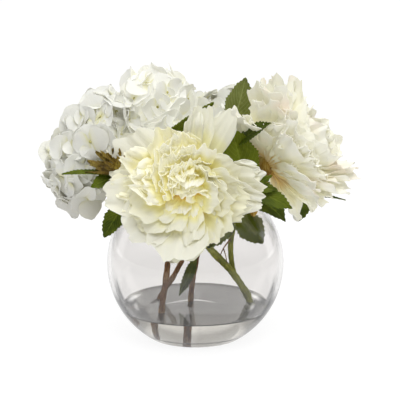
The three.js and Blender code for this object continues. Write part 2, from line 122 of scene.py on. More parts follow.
def smooth_path(points: list, steps: int) -> np.ndarray:
    """Even steps along the smooth curve through points, the same curve as the solids use.

    Args:
        points: the points that the curve passes.
        steps: how many steps it is cut into.

    Returns:
        One row for each end of a step.
    """
    known = np.asarray(points, float)
    padded = np.vstack([2 * known[0] - known[1], known, 2 * known[-1] - known[-2]])
    fine = []
    for before, here, ahead, after in zip(padded, padded[1:], padded[2:], padded[3:]):
        gaps = [max(np.linalg.norm(b - a) ** 0.5, 1e-4) for a, b in ((before, here), (here, ahead), (ahead, after))]
        leave = (here - before) / gaps[0] - (ahead - before) / (gaps[0] + gaps[1]) + (ahead - here) / gaps[1]
        reach = (ahead - here) / gaps[1] - (after - here) / (gaps[1] + gaps[2]) + (after - ahead) / gaps[2]
        leave, reach = leave * gaps[1], reach * gaps[1]
        for x in np.linspace(0, 1, CURVE_STEPS, endpoint=False):
            third = 2 * here - 2 * ahead + leave + reach
            second = 3 * ahead - 3 * here - 2 * leave - reach
            fine.append(here + leave * x + second * x**2 + third * x**3)
    fine = np.vstack(fine + [known[-1]])
    run = np.concatenate([[0], np.cumsum(np.linalg.norm(np.diff(fine, axis=0), axis=1))])
    wanted = np.linspace(0, run[-1], steps + 1)
    return np.stack([np.interp(wanted, run, fine[:, k]) for k in range(3)], axis=1)


class Bench:
    """The modelling tools, each a short run of operators."""

    @staticmethod
    def clear() -> None:
        """Leaves nothing selected."""
        bpy.ops.object.select_all(action="DESELECT")

    @staticmethod
    def pick(*pieces: Object) -> None:
        """Selects only some pieces.

        Args:
            pieces: what is selected, with the first one active.
        """
        Bench.clear()
        for piece in pieces:
            piece.select_set(True)
        bpy.context.view_layer.objects.active = pieces[0]

    @staticmethod
    def ball(subdivisions: int, radius: float) -> Object:
        """A ball about the origin.

        Args:
            subdivisions: how finely it is rounded.
            radius: its radius, in metres.

        Returns:
            The ball.
        """
        Bench.clear()
        bpy.ops.mesh.primitive_ico_sphere_add(subdivisions=subdivisions, radius=radius, location=(0, 0, 0))
        return bpy.context.active_object

    @staticmethod
    def join(name: str, pieces: list[Object]) -> Object:
        """Joins pieces to one.

        Args:
            name: the joined piece's name.
            pieces: what is joined.

        Returns:
            The joined piece.
        """
        Bench.pick(*pieces)
        if len(pieces) > 1:
            bpy.ops.object.join()
        made = bpy.context.view_layer.objects.active
        made.name = name
        made.data.name = name
        return made

    @staticmethod
    def thicken(piece: Object, thickness: float, lining: int = 0) -> None:
        """Gives sheets their thickness, half of it to each side.

        Args:
            piece: the sheets.
            thickness: how thick they get.
            lining: how many finishes further on their backs find their own.
        """
        Bench.pick(piece)
        bpy.ops.object.modifier_add(type="SOLIDIFY")
        modifier = piece.modifiers[-1]
        modifier.thickness = thickness * MM
        modifier.offset = 0.0
        modifier.material_offset = lining
        bpy.ops.object.modifier_apply(modifier=modifier.name)

    @staticmethod
    def dress(piece: Object, *finishes: Material) -> None:
        """Puts finishes on a piece in place of what it has.

        Args:
            piece: the piece.
            finishes: its new finishes, in order.
        """
        piece.data.materials.clear()
        for finish in finishes:
            piece.data.materials.append(finish)

    @staticmethod
    def settle(piece: Object, slot: Slot, *nodes: str, sharp: float = 60.0) -> None:
        """Shades a dressed piece smooth and fixes it to the frame.

        Args:
            piece: the dressed piece.
            slot: its material slot in the record; not used.
            nodes: the solid that it stands for, if any.
            sharp: the angle past which an edge stays sharp.
        """
        Bench.pick(piece)
        bpy.ops.object.shade_smooth_by_angle(angle=radians(sharp))
        if nodes:
            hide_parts(*nodes)
        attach(piece, BODY)
        LOG.info("%s: %d faces, for %s", piece.name, len(piece.data.polygons), *nodes or ["no solid"])


class Sheet:
    """Flat stock that petals and leaves are cut from: one grid primitive, copied for each."""

    def __init__(self, along: int, across: int) -> None:
        """Adds the grid and keeps its mesh.

        Args:
            along: faces from root to tip.
            across: faces from edge to edge.
        """
        Bench.clear()
        bpy.ops.mesh.primitive_grid_add(x_subdivisions=across, y_subdivisions=along, size=2, location=(0, 0, 0))
        stock = bpy.context.active_object
        self.mesh = stock.data
        flat = np.empty(len(self.mesh.vertices) * 3, np.float32)
        self.mesh.vertices.foreach_get("co", flat)
        self.across = flat[0::3].astype(float)
        self.along = (flat[1::3].astype(float) + 1) / 2
        bpy.data.objects.remove(stock)

    def cut(self, name: str, points: np.ndarray, shade: float = 0.0) -> Object:
        """A copy of the stock, shaped.

        Args:
            name: the piece's name.
            points: where each of the stock's points goes.
            shade: a value from -1 to 1 that its finish reads: a random tone on petals, so that no two are quite
                alike, and painted light and shade on leaf blades.

        Returns:
            The piece, still without thickness.
        """
        mesh = self.mesh.copy()
        mesh.vertices.foreach_set("co", (points * MM).astype(np.float32).ravel())
        shades = mesh.attributes.new("shade", "FLOAT", "POINT")
        shades.data.foreach_set("value", np.full(len(points), shade, np.float32))
        piece = bpy.data.objects.new(name, mesh)
        bpy.context.collection.objects.link(piece)
        return piece

    def grow(self, name: str, petal: Petal | FloretPetal, frame: Placing, shade: float = 0.0) -> Object:
        """A petal cut from the stock and put in its place."""
        return self.cut(name, frame.apply(petal.points(self.along, self.across)), shade)


def make_tube(name: str, path: np.ndarray, radii: np.ndarray, sides: int = 3) -> Object:
    """A round tube along a path.

    Args:
        name: the piece's name.
        path: the points that it follows.
        radii: its radius at each point.
        sides: how finely it is rounded.

    Returns:
        The tube, as a closed mesh with its place in its mesh.
    """
    Bench.clear()
    bpy.ops.curve.primitive_nurbs_path_add(location=(0, 0, 0))
    piece = bpy.context.active_object
    piece.name = name
    curve = piece.data
    curve.splines.clear()
    spline = curve.splines.new("POLY")
    spline.points.add(len(path) - 1)
    for point, place, radius in zip(spline.points, path, radii):
        point.co = (*(place * MM), 1)
        point.radius = radius
    curve.bevel_depth = MM
    curve.bevel_resolution = sides
    curve.use_fill_caps = True
    bpy.ops.object.convert(target="MESH")
    made = bpy.context.active_object
    bpy.ops.object.mode_set(mode="EDIT")
    bpy.ops.mesh.select_all(action="SELECT")
    bpy.ops.mesh.remove_doubles(threshold=1e-6)
    bpy.ops.mesh.normals_make_consistent(inside=False)
    bpy.ops.object.mode_set(mode="OBJECT")
    return made


class Recipe:
    """A material's nodes, built one after another."""

    def __init__(self, name: str, world: bool = False) -> None:
        """Starts an empty material.

        Args:
            name: its name.
            world: whether it is a world and no material.
        """
        self.made = (bpy.data.worlds if world else bpy.data.materials).new(name)
        self.made.use_nodes = True
        self.tree = self.made.node_tree
        self.tree.nodes.clear()

    def node(self, kind: str, links: dict | None = None, **settings: object) -> Node:
        """Adds a node.

        Args:
            kind: the node's type, without its prefix.
            links: what goes into its inputs, by name or number: an output to link, or a value.
            settings: the node's own settings.

        Returns:
            The node.
        """
        made = self.tree.nodes.new("ShaderNode" + kind)
        for key, value in settings.items():
            setattr(made, key, value)
        for key, value in (links or {}).items():
            if isinstance(value, NodeSocket):
                self.tree.links.new(value, made.inputs[key])
            else:
                made.inputs[key].default_value = value
        return made

    def number(self, operation: str, *values: object) -> NodeSocket:
        """A sum of one or more numbers."""
        return self.node("Math", dict(enumerate(values)), operation=operation).outputs[0]

    def place(self) -> NodeSocket:
        """Where a point lies, in the solids' frame."""
        return self.node("TexCoord").outputs["Object"]

    def sheet(self) -> NodeSocket:
        """Where a point lies on its stock: across, and along from root to tip."""
        return self.node("UVMap", uv_map="UVMap").outputs[0]

    def shade(self) -> NodeSocket:
        """The shade that each petal or blade was cut with: a random tone on petals, painted light and shade on leaf
        blades.
        """
        return self.node("Attribute", attribute_name="shade").outputs["Fac"]

    def parts(self, where: NodeSocket) -> bpy.types.bpy_prop_collection:
        """The three numbers of a place."""
        return self.node("SeparateXYZ", {0: where}).outputs

    def ramp(self, factor: NodeSocket, stops: list, ease: str = "LINEAR") -> NodeSocket:
        """A colour ramp.

        Args:
            factor: what it reads.
            stops: positions and colours.
            ease: how it goes from one to the next.

        Returns:
            Its colour.
        """
        made = self.node("ValToRGB", {"Fac": factor})
        band = made.color_ramp
        band.interpolation = ease
        while len(band.elements) < len(stops):
            band.elements.new(0.5)
        for element, (position, colour) in zip(band.elements, stops):
            element.position = position
            element.color = (*colour, 1.0)
        return made.outputs["Color"]

    def mix(self, factor: object, first: object, second: object, blend: str = "MIX") -> NodeSocket:
        """Two colours mixed.

        Args:
            factor: the share of the second.
            first: the first colour.
            second: the second colour.
            blend: how they are mixed.

        Returns:
            The mixed colour.
        """
        made = self.node("Mix", data_type="RGBA", blend_type=blend, clamp_factor=True)
        for index, value in ((0, factor), (6, first), (7, second)):
            if isinstance(value, NodeSocket):
                self.tree.links.new(value, made.inputs[index])
            else:
                made.inputs[index].default_value = (*value, 1.0) if isinstance(value, tuple) else value
        return made.outputs[2]

    def noise(self, where: NodeSocket, scale: float, detail: float = 2.0) -> NodeSocket:
        """Plain noise, from 0 to 1."""
        return self.node("TexNoise", {"Vector": where, "Scale": scale, "Detail": detail}).outputs[0]

    def stretched(self, where: NodeSocket, scale: tuple) -> NodeSocket:
        """Coordinates stretched along their axes."""
        return self.node("Mapping", {"Vector": where, "Scale": scale}).outputs[0]

    def step(self, value: NodeSocket, low: float, high: float, first: float, last: float) -> NodeSocket:
        """A soft step from first to last, as a value goes from low to high."""
        links = {"Value": value, "From Min": low, "From Max": high, "To Min": first, "To Max": last}
        return self.node("MapRange", links, interpolation_type="SMOOTHSTEP").outputs[0]

    def bump(self, height: NodeSocket, strength: float, distance: float) -> NodeSocket:
        """A bumped normal."""
        return self.node("Bump", {"Height": height, "Strength": strength, "Distance": distance}).outputs[0]

    def surface(self, **inputs: object) -> Material:
        """Ends the recipe in the shader.

        Args:
            inputs: the shader's inputs, named with underscores for spaces.

        Returns:
            The finished material.
        """
        shader = self.node("BsdfPrincipled", {key.replace("_", " "): value for key, value in inputs.items()})
        self.node("OutputMaterial", {"Surface": shader.outputs[0]})
        return self.made


@dataclass(frozen=True)
class PetalFinish:
    """Soft petal: a darker root, a pale tip, fine streaks from root to tip, a painted glow, and painted shade low if
    set.
    """

    name: str
    root: tuple
    middle: tuple
    tip: tuple
    blush: tuple = (0.9, 0.7, 0.6)
    blush_share: float = 0.0
    root_end: float = 0.3
    tip_start: float = 0.95
    streaks: float = 46.0
    # glow and its strength are painted light: the petal emits a faint glow that lifts its shaded parts.
    glow: tuple = (0.9, 0.78, 0.3)
    painted_glow_strength: float = 0.03
    # The low colour, its share and the heights over which it fades paint shade on the lower part of a piece.
    painted_shade_colour: tuple = (0.5, 0.485, 0.45)
    painted_shade_share: float = 0.0
    painted_shade_reach: tuple = (0.108, 0.152)

    def make(self) -> Material:
        """Builds the material.

        Returns:
            The material.
        """
        recipe = Recipe(self.name)
        number, mix = recipe.number, recipe.mix
        sheet, place = recipe.sheet(), recipe.place()
        uneven = number("MULTIPLY", number("SUBTRACT", recipe.noise(place, 60.0), 0.5), 0.35)
        drift = number("ADD", recipe.parts(sheet)[1], uneven)
        middle_at = self.root_end + 0.4 * (self.tip_start - self.root_end)
        stops = [(self.root_end * 0.5, self.root), (middle_at, self.middle), (self.tip_start, self.tip)]
        colour = recipe.ramp(drift, stops, "EASE")
        streak = recipe.noise(recipe.stretched(sheet, (self.streaks, 1.6, 1.0)), 1.0, 3.0)
        colour = mix(number("MULTIPLY", streak, 0.22), colour, self.middle, "MULTIPLY")
        colour = mix(number("MULTIPLY_ADD", recipe.shade(), 0.12, 0.12), colour, self.middle)
        if self.blush_share:
            spots = number("MAXIMUM", number("SUBTRACT", recipe.noise(place, 38.0, 1.0), 0.56), 0.0)
            colour = mix(number("MULTIPLY", spots, 6.0 * self.blush_share), colour, self.blush)
        # Painted shade: the colour darkens towards the bottom of the piece, below the given heights.
        if self.painted_shade_share:
            low = recipe.step(recipe.parts(place)[2], *self.painted_shade_reach, self.painted_shade_share, 0.0)
            colour = mix(low, colour, self.painted_shade_colour)
        # The emission is a painted glow, painted light that lifts the petal's shade.
        return recipe.surface(
            Base_Color=colour, Roughness=0.65, Specular_IOR_Level=0.15, Subsurface_Weight=0.25,
            Subsurface_Radius=(1.0, 0.97, 0.85), Subsurface_Scale=0.0015, Emission_Color=(*self.glow, 1.0),
            Emission_Strength=self.painted_glow_strength, Normal=recipe.bump(streak, 0.5, 0.0005),
        )


@dataclass(frozen=True)
class LeafFinish:
    """Leaf face with a midrib, side veins and a mottled ground."""

    name: str
    dark: tuple
    light: tuple
    vein: tuple
    rough: float
    vein_share: float = 0.5

    def make(self) -> Material:
        """Builds the material.

        Returns:
            The material.
        """
        recipe = Recipe(self.name)
        number, mix, place = recipe.number, recipe.mix, recipe.place()
        across, along, _ = recipe.parts(recipe.sheet())
        off = number("ABSOLUTE", number("SUBTRACT", across, 0.5))
        rib = number("MAXIMUM", number("MULTIPLY_ADD", off, -28.0, 1.0), 0.0)
        wave = number("PINGPONG", number("MULTIPLY", number("SUBTRACT", along, off), 9.0), 0.5)
        side = number("MAXIMUM", number("MULTIPLY_ADD", wave, -6.0, 1.0), 0.0)
        veins = number("MAXIMUM", rib, number("MULTIPLY", side, 0.6))
        ground = recipe.noise(place, 90.0, 3.0)
        fine = recipe.noise(place, 700.0, 2.0)
        # A blade's shade moves it towards the light or the dark green: painted light and shade.
        level = number("ADD", number("MULTIPLY_ADD", recipe.shade(), 0.25, ground), -0.05)
        colour = recipe.ramp(level, [(0.3, self.dark), (0.7, self.light)])
        colour = mix(number("MULTIPLY", fine, 0.35), colour, self.dark, "MULTIPLY")
        colour = mix(number("MULTIPLY", veins, self.vein_share), colour, self.vein)
        height = number("ADD", number("MULTIPLY", veins, 0.8), number("MULTIPLY", fine, 0.3))
        return recipe.surface(
            Base_Color=colour, Roughness=self.rough, Specular_IOR_Level=0.14, Subsurface_Weight=0.08,
            Subsurface_Radius=(0.4, 1.0, 0.2), Subsurface_Scale=0.001, Normal=recipe.bump(height, 0.5, 0.0004),
        )


@dataclass(frozen=True)
class BarkFinish:
    """Stem skin, streaked along its length."""

    name: str
    dark: tuple
    middle: tuple
    light: tuple
    rough: float
    relief: float

    def make(self) -> Material:
        """Builds the material.

        Returns:
            The material.
        """
        recipe = Recipe(self.name)
        number, place = recipe.number, recipe.place()
        long = recipe.noise(recipe.stretched(place, (1.0, 1.0, 0.16)), 900.0, 3.0)
        patch = recipe.noise(place, 70.0, 2.0)
        level = number("ADD", number("MULTIPLY", long, 0.5), number("MULTIPLY", patch, 0.5))
        colour = recipe.ramp(level, [(0.36, self.dark), (0.5, self.middle), (0.64, self.light)])
        return recipe.surface(
            Base_Color=colour, Roughness=self.rough, Specular_IOR_Level=0.35,
            Normal=recipe.bump(long, 0.6, self.relief),
        )


@dataclass(frozen=True)
class ClearFinish:
    """Glass or water, with a faint unevenness in its surface and a painted dark line, painted shade, low on its
    sides.

    Each streak is a painted glint: the middle, radius, direction and spread of an arc, how strong it is and how wide
    it is.
    """

    name: str
    tint: tuple
    # The edge colour is painted shade, taken where the surface turns away from view.
    edge: tuple
    bend: float
    unevenness: float
    scale: float
    streaks: tuple = ()

    def make(self) -> Material:
        """Builds the material.

        Returns:
            The material.
        """
        recipe = Recipe(self.name)
        number, mix, step, place = recipe.number, recipe.mix, recipe.step, recipe.place()
        across, _, height = recipe.parts(place)
        turned = recipe.node("LayerWeight", {"Blend": 0.5}).outputs["Facing"]
        # Painted shade: the colour goes to the edge colour where the surface turns away, in a band low on the sides
        # and more so lower down.
        band = number("MULTIPLY", step(height, 0.018, 0.028, 0.0, 1.0), step(height, 0.037, 0.052, 1.0, 0.0))
        side = number("MULTIPLY", step(turned, 0.61, 0.7, 0.0, 1.0), band)
        low = number("MULTIPLY", step(turned, 0.68, 0.84, 0.0, 0.6), step(height, 0.03, 0.07, 1.0, 0.2))
        colour = mix(number("MAXIMUM", side, low), self.tint, self.edge)
        painted_glints = {}
        if self.streaks:
            # Painted light: the surface is paler towards its left and right ends, where glints fall.
            aside = step(number("ABSOLUTE", across), 0.044, 0.058, 0.0, 0.8)
            colour = mix(aside, colour, (0.5, 0.5, 0.48))
            painted_glints = {"Emission_Color": self.painted_glints(recipe, place), "Emission_Strength": 0.8}
        swell = recipe.noise(place, self.scale, 1.0)
        return recipe.surface(
            Base_Color=colour, Roughness=0.0, IOR=self.bend, Transmission_Weight=1.0,
            Normal=recipe.bump(swell, self.unevenness, 0.0008), **painted_glints,
        )

    def painted_glints(self, recipe: Recipe, place: NodeSocket) -> NodeSocket:
        """The painted glints: arcs of painted light.

        Args:
            recipe: the material's recipe.
            place: where a point lies.

        Returns:
            Their colour, and black elsewhere.
        """
        number, step = recipe.number, recipe.step
        colour = (0.0, 0.0, 0.0)
        for (x, y), radius, way, spread, bright, wide in self.streaks:
            moved = recipe.node("VectorMath", {0: place, 1: (x, y, 0.0)}, operation="SUBTRACT").outputs[0]
            across, ahead, _ = recipe.parts(moved)
            far = number("SQRT", number("ADD", number("POWER", across, 2.0), number("POWER", ahead, 2.0)))
            off = step(number("ABSOLUTE", number("SUBTRACT", far, radius)), 0.0, wide, 1.0, 0.0)
            turn = number("SUBTRACT", number("ARCTAN2", ahead, across), way)
            turn = step(number("ABSOLUTE", number("WRAP", turn, pi, -pi)), 0.0, spread, 1.0, 0.0)
            there = number("MULTIPLY", number("MULTIPLY", off, turn), bright)
            colour = recipe.mix(there, colour, (1.0, 1.0, 0.99))
        return colour


# Painted glints on the water's top: arcs of painted light, each with the fields that ClearFinish lists for a streak.
SURFACE_PAINTED_GLINTS = (
    ((-0.002, -0.012), 0.024, 1.57, 1.1, 0.8, 0.0022),
    ((-0.012, -0.014), 0.02, 1.9, 0.9, 0.4, 0.0018),
    ((0.0, 0.0), 0.0585, 2.85, 0.3, 1.0, 0.005),
    ((0.0, 0.0), 0.052, 3.3, 0.35, 0.5, 0.003),
    ((0.0, 0.0), 0.0575, 0.35, 0.3, 0.9, 0.005),
    ((0.0, 0.0), 0.05, -0.2, 0.35, 0.5, 0.003),
)
FINISHES = (
    ClearFinish("clear_glass", (0.89, 0.878, 0.868), (0.012, 0.012, 0.013), 1.47, 0.04, 30.0),
    ClearFinish("clear_water", (0.9, 0.885, 0.83), (0.6, 0.6, 0.57), 1.42, 0.05, 45.0),
    # The water's top is painted nearly black, painted shade for the dark floor seen through it, and carries the
    # painted glints.
    ClearFinish("water_surface", (0.082, 0.08, 0.076), (0.08, 0.08, 0.08), 1.42, 0.35, 45.0, SURFACE_PAINTED_GLINTS),
    # Every petal finish glows a little, painted light that lifts its shade; the inner, blushed and top hydrangea
    # finishes glow most.
    PetalFinish("peony_cream", (0.88, 0.7, 0.16), (0.93, 0.91, 0.6), (0.89, 0.885, 0.81), tip_start=0.8),
    PetalFinish(
        "peony_cream_shell", (0.84, 0.56, 0.08), (0.94, 0.89, 0.44), (0.91, 0.905, 0.8),
        root_end=0.34, tip_start=0.86, glow=(1.0, 0.87, 0.36),
    ),
    PetalFinish(
        "peony_cream_inner", (0.86, 0.56, 0.08), (0.955, 0.9, 0.44), (0.97, 0.965, 0.88),
        root_end=0.34, tip_start=0.88, glow=(1.0, 0.9, 0.44), painted_glow_strength=0.08,
    ),
    PetalFinish(
        "peony_cream_blushed", (0.7, 0.46, 0.04), (0.94, 0.92, 0.72), (0.945, 0.94, 0.87),
        blush=(0.92, 0.7, 0.58), blush_share=0.3, root_end=0.25, glow=(0.95, 0.9, 0.66), painted_glow_strength=0.07,
    ),
    # The left and back heads' finish, with painted shade on their lower florets.
    PetalFinish(
        "hydrangea_white", (0.8, 0.78, 0.48), (0.88, 0.875, 0.76), (0.88, 0.88, 0.83), root_end=0.08,
        tip_start=0.5, streaks=22.0, glow=(0.85, 0.82, 0.68), painted_shade_share=0.7,
    ),
    # A copy of the hydrangea finish for the top head, darker in colour with a strong glow: painted light that makes
    # the head look more lit.
    PetalFinish(
        "hydrangea_bright", (0.7, 0.68, 0.42), (0.76, 0.755, 0.67), (0.77, 0.77, 0.735), root_end=0.08,
        tip_start=0.5, streaks=22.0, glow=(0.9, 0.89, 0.8), painted_glow_strength=0.23,
    ),
    BarkFinish("floret_eye", (0.36, 0.36, 0.08), (0.6, 0.56, 0.2), (0.78, 0.74, 0.42), 0.6, 0.0001),
    LeafFinish("leaf_upper", (0.055, 0.085, 0.004), (0.2, 0.25, 0.014), (0.3, 0.36, 0.05), 0.5),
    LeafFinish("leaf_under", (0.19, 0.22, 0.05), (0.29, 0.33, 0.1), (0.4, 0.44, 0.18), 0.65, 0.6),
    BarkFinish("brown_bark", (0.1, 0.035, 0.008), (0.27, 0.115, 0.03), (0.5, 0.31, 0.14), 0.7, 0.0005),
    BarkFinish("green_skin", (0.15, 0.17, 0.004), (0.31, 0.33, 0.01), (0.47, 0.47, 0.05), 0.5, 0.0002),
    BarkFinish("olive_twig", (0.06, 0.035, 0.003), (0.18, 0.115, 0.01), (0.36, 0.28, 0.05), 0.6, 0.0003),
    BarkFinish("golden_base", (0.2, 0.1, 0.01), (0.42, 0.25, 0.03), (0.6, 0.48, 0.15), 0.6, 0.0002),
)


@dataclass
class GlassBowl:
    """The round bowl: two balls about one centre, cut at mouth, foot and floor, and bridged at the lip."""

    finish: Material
    radius: float = 76.0
    centre: float = 64.0
    mouth: float = 50.0
    wall: float = 3.0
    floor: float = 6.0
    segments: int = 128
    rings: int = 96

    @property
    def rim(self) -> float:
        """The height of the outer edge of the lip."""
        return self.centre + sqrt(self.radius**2 - self.mouth**2)

    @property
    def inner_rim(self) -> float:
        """The height of the inner edge of the lip."""
        return self.centre + (self.rim - self.centre) * (self.radius - self.wall) / self.radius

    def ball(self, name: str, radius: float, low: float, high: float, fill_top: bool = False) -> Object:
        """A ball about the bowl's centre, cut flat and closed at the bottom, and cut at the top.

        Args:
            name: the piece's name.
            radius: the ball's radius.
            low: the height of the lower cut.
            high: the height of the upper cut.
            fill_top: whether the upper cut is closed too.

        Returns:
            The cut ball.
        """
        Bench.clear()
        bpy.ops.mesh.primitive_uv_sphere_add(
            segments=self.segments, ring_count=self.rings, radius=radius * MM, location=(0, 0, self.centre * MM)
        )
        piece = bpy.context.active_object
        piece.name = name
        bpy.ops.object.transform_apply(location=True, rotation=True, scale=True)
        bpy.ops.object.mode_set(mode="EDIT")
        for height, normal, fill in ((low, (0, 0, -1), True), (high, (0, 0, 1), fill_top)):
            bpy.ops.mesh.select_all(action="SELECT")
            bpy.ops.mesh.bisect(plane_co=(0, 0, height * MM), plane_no=normal, clear_outer=True, use_fill=fill)
        bpy.ops.object.mode_set(mode="OBJECT")
        return piece

    def build(self) -> None:
        """Makes the bowl."""
        inner = self.ball("bowl_inside", self.radius - self.wall, self.floor, self.inner_rim)
        outer = self.ball("bowl_outside", self.radius, 0.0, self.rim)
        bowl = Bench.join("bowl", [outer, inner])
        bpy.ops.object.mode_set(mode="EDIT")
        bpy.ops.mesh.select_all(action="DESELECT")
        bpy.ops.mesh.select_non_manifold()
        bpy.ops.mesh.bridge_edge_loops(number_cuts=4, interpolation="SURFACE", smoothness=1.2)
        bpy.ops.mesh.select_all(action="SELECT")
        bpy.ops.mesh.normals_make_consistent(inside=False)
        bpy.ops.object.mode_set(mode="OBJECT")
        Bench.dress(bowl, self.finish)
        Bench.settle(bowl, Slot.GLASS, "glass_bowl", sharp=40)


@dataclass
class Water:
    """The water in the bowl, a hair into the glass, so that no air shows between them.

    edge holds the rings in which its edge drops from the glass: how wide each is, and its share of the creep.
    """

    finishes: list[Material]
    bowl: GlassBowl
    level: float = 26.3
    into_glass: float = 0.15
    creep: float = 1.2
    edge: tuple = ((0.7, 0.45), (0.9, 0.27), (1.2, 0.16), (1.6, 0.08), (2.4, 0.04))
    flat: float = 0.9
    sloped: float = 0.5

    def is_surface(self, face: bpy.types.MeshPolygon, least: float) -> bool:
        """Whether a face lies at the water's level and looks up by at least so much."""
        return face.normal.z > least and face.center.z > (self.level - 1) * MM

    def build(self) -> None:
        """Makes the water."""
        bowl = self.bowl
        radius = bowl.radius - bowl.wall + self.into_glass
        bottom = bowl.floor - self.into_glass
        water = bowl.ball("still_water", radius, bottom, self.level + self.creep, fill_top=True)
        Bench.pick(water)
        for face in water.data.polygons:
            face.select = self.is_surface(face, self.flat)
        bpy.ops.object.mode_set(mode="EDIT")
        bpy.ops.mesh.select_mode(type="FACE")
        for inset, drop in self.edge:
            bpy.ops.mesh.inset(thickness=inset * MM, depth=0)
            bpy.ops.transform.translate(value=(0, 0, -drop * self.creep * MM))
        bpy.ops.object.mode_set(mode="OBJECT")
        Bench.dress(water, *self.finishes)
        for face in water.data.polygons:
            face.material_index = int(self.is_surface(face, self.sloped))
        Bench.settle(water, Slot.WATER, "water", sharp=50)


@dataclass
class Stem:
    """A cut stem of one or more runs, each its points and its radius, with a knot every so often."""

    node: str
    runs: list
    finish: Material
    slot: Slot
    knot_every: float = 27.0
    knot: float = 0.16
    knot_sharpness: int = 24
    step: float = 1.6

    def run_piece(self, number: int) -> Object:
        """One run as a tube that swells at its knots.

        Args:
            number: which run it is.

        Returns:
            The tube.
        """
        points, radius = self.runs[number]
        length = np.linalg.norm(np.diff(smooth_path(points, 60), axis=0), axis=1).sum()
        steps = max(8, round(length / self.step))
        along = np.linspace(0, length, steps + 1)
        phase = 9 * scatter(number + len(self.node), 71)
        knots = np.abs(np.sin((along + phase) * pi / self.knot_every)) ** self.knot_sharpness
        uneven = 0.05 * np.sin(along * 0.9 + phase) + 0.04 * np.sin(along * 0.37 - phase)
        radii = radius * (1 + self.knot * knots + uneven)
        return make_tube(f"{self.node}_run_{number}", smooth_path(points, steps), radii)

    def build(self) -> None:
        """Makes the stem."""
        stem = Bench.join("cut_" + self.node, [self.run_piece(number) for number in range(len(self.runs))])
        Bench.dress(stem, self.finish)
        Bench.settle(stem, self.slot, self.node, sharp=50)


@dataclass(frozen=True)
class Petal:
    """A petal in its bloom's own frame, which leans from open_root to open_tip off the bloom's axis.

    azimuth is its direction round the bloom, cup the angle in radians that each side bends inwards, wave the depth
    of its ruffles, lap the slope that lays one edge over the next petal, fray the depth of the cuts in its tip, pleat
    the depth of its fine folds, curl how far its tip rolls outwards, and crumple the depth of its uneven dents.
    """

    azimuth: float
    length: float
    width: float
    open_root: float
    open_tip: float
    cup: float
    wave: float
    phase: float
    root: float = 5.0
    lift: float = -1.0
    lap: float = 0.16
    fray: float = 0.05
    pleat: float = 0.5
    curl: float = 0.0
    crumple: float = 0.6

    def points(self, s: np.ndarray, t: np.ndarray) -> np.ndarray:
        """The petal's surface.

        Args:
            s: from 0 at the root to 1 at the tip.
            t: from -1 to 1 across.

        Returns:
            One point for each pair.
        """
        outward = np.array([cos(radians(self.azimuth)), sin(radians(self.azimuth)), 0.0])
        sideways = np.array([-outward[1], outward[0], 0.0])
        start = radians(self.open_root)
        turn = radians(self.open_tip - self.open_root) or 1e-6
        cuts = np.abs(np.sin(5.1 * t + self.phase)) * 0.6 + np.abs(np.sin(11.7 * t + 2.3 * self.phase)) * 0.7
        cuts += 0.5 * np.abs(np.sin(23.0 * t - self.phase))
        along = s * (1 - 0.2 * t**2 + 0.04 * np.cos(7 * t + self.phase)) - self.fray * (cuts - 0.7) * s**5
        angle = start + turn * along
        radius = self.root + self.length * (cos(start) - np.cos(angle)) / turn
        height = self.lift + self.length * (np.sin(angle) - sin(start)) / turn
        spread = 0.14 + 0.86 * np.sin(pi / 2 * np.clip(along / 0.7, 0, 1)) ** 1.4
        half = self.width * spread * (1 - 0.2 * np.clip((along - 0.7) / 0.3, 0, None) ** 2)
        half = half * (1 + 0.5 * self.fray * np.sin(31 * s + 3 * self.phase) * s)
        across = half * np.sin(self.cup * t) / self.cup
        ruffle = self.wave * along**2 * np.sin(4.4 * t + self.phase) * (0.4 + 0.6 * np.abs(t))
        ruffle += 0.45 * self.wave * along**3 * np.sin(9.7 * t + 4 * along - self.phase)
        ruffle += self.pleat * along * (1 - 0.5 * along) * np.sin(15 * t + 2 * along + 3 * self.phase)
        dents = np.sin(8 * s + 5 * t + self.phase) * np.sin(6 * t - 4 * s + 2 * self.phase)
        dents += 0.6 * np.sin(15 * s - 9 * t + 3 * self.phase) * np.sin(11 * t + 8 * s - self.phase)
        ruffle += self.crumple * np.clip(1.6 * along, 0, 1) * dents
        lip = np.clip((along - 0.68) / 0.32, 0, None) ** 2
        inwards = half * (1 - np.cos(self.cup * t)) / self.cup + ruffle + self.lap * half * t
        inwards -= self.curl * self.length * 0.16 * lip
        return (
            outward * (radius - inwards * np.cos(angle))[:, None]
            + sideways * across[:, None]
            + np.array([0.0, 0.0, 1.0]) * (height + inwards * np.sin(angle))[:, None]
        )


@dataclass(frozen=True)
class Ring:
    """A ring, or an arc of one, of like petals, whose measures are those of Petal."""

    count: int
    first: float
    arc: float
    root: float
    lift: float
    length: float
    width: float
    open_root: float
    open_tip: float
    cup: float
    wave: float
    fray: float
    pleat: float
    crumple: float
    lap: float = 0.16
    curl: float = 0.0

    def petal(self, i: int, item: int, stretch: float) -> Petal:
        """One of its petals, a little different from the others.

        Args:
            i: which one of the ring it is.
            item: its number in the bloom, for the scatter.
            stretch: how much longer than the ring says the bloom's petals are.

        Returns:
            The petal.
        """
        azimuth = self.first + self.arc * i / self.count + 11 * scatter(item, 1)
        length = self.length * stretch * (1 + 0.12 * scatter(item, 2))
        wider = sqrt(stretch)
        shift = 8 * scatter(item, 3)
        opens = (self.open_root / wider + shift, self.open_tip / wider + shift)
        return Petal(
            azimuth, length, self.width * wider, *opens, self.cup, self.wave, 3 * scatter(item, 4), self.root,
            self.lift, self.lap, self.fray, self.pleat, self.curl, self.crumple,
        )


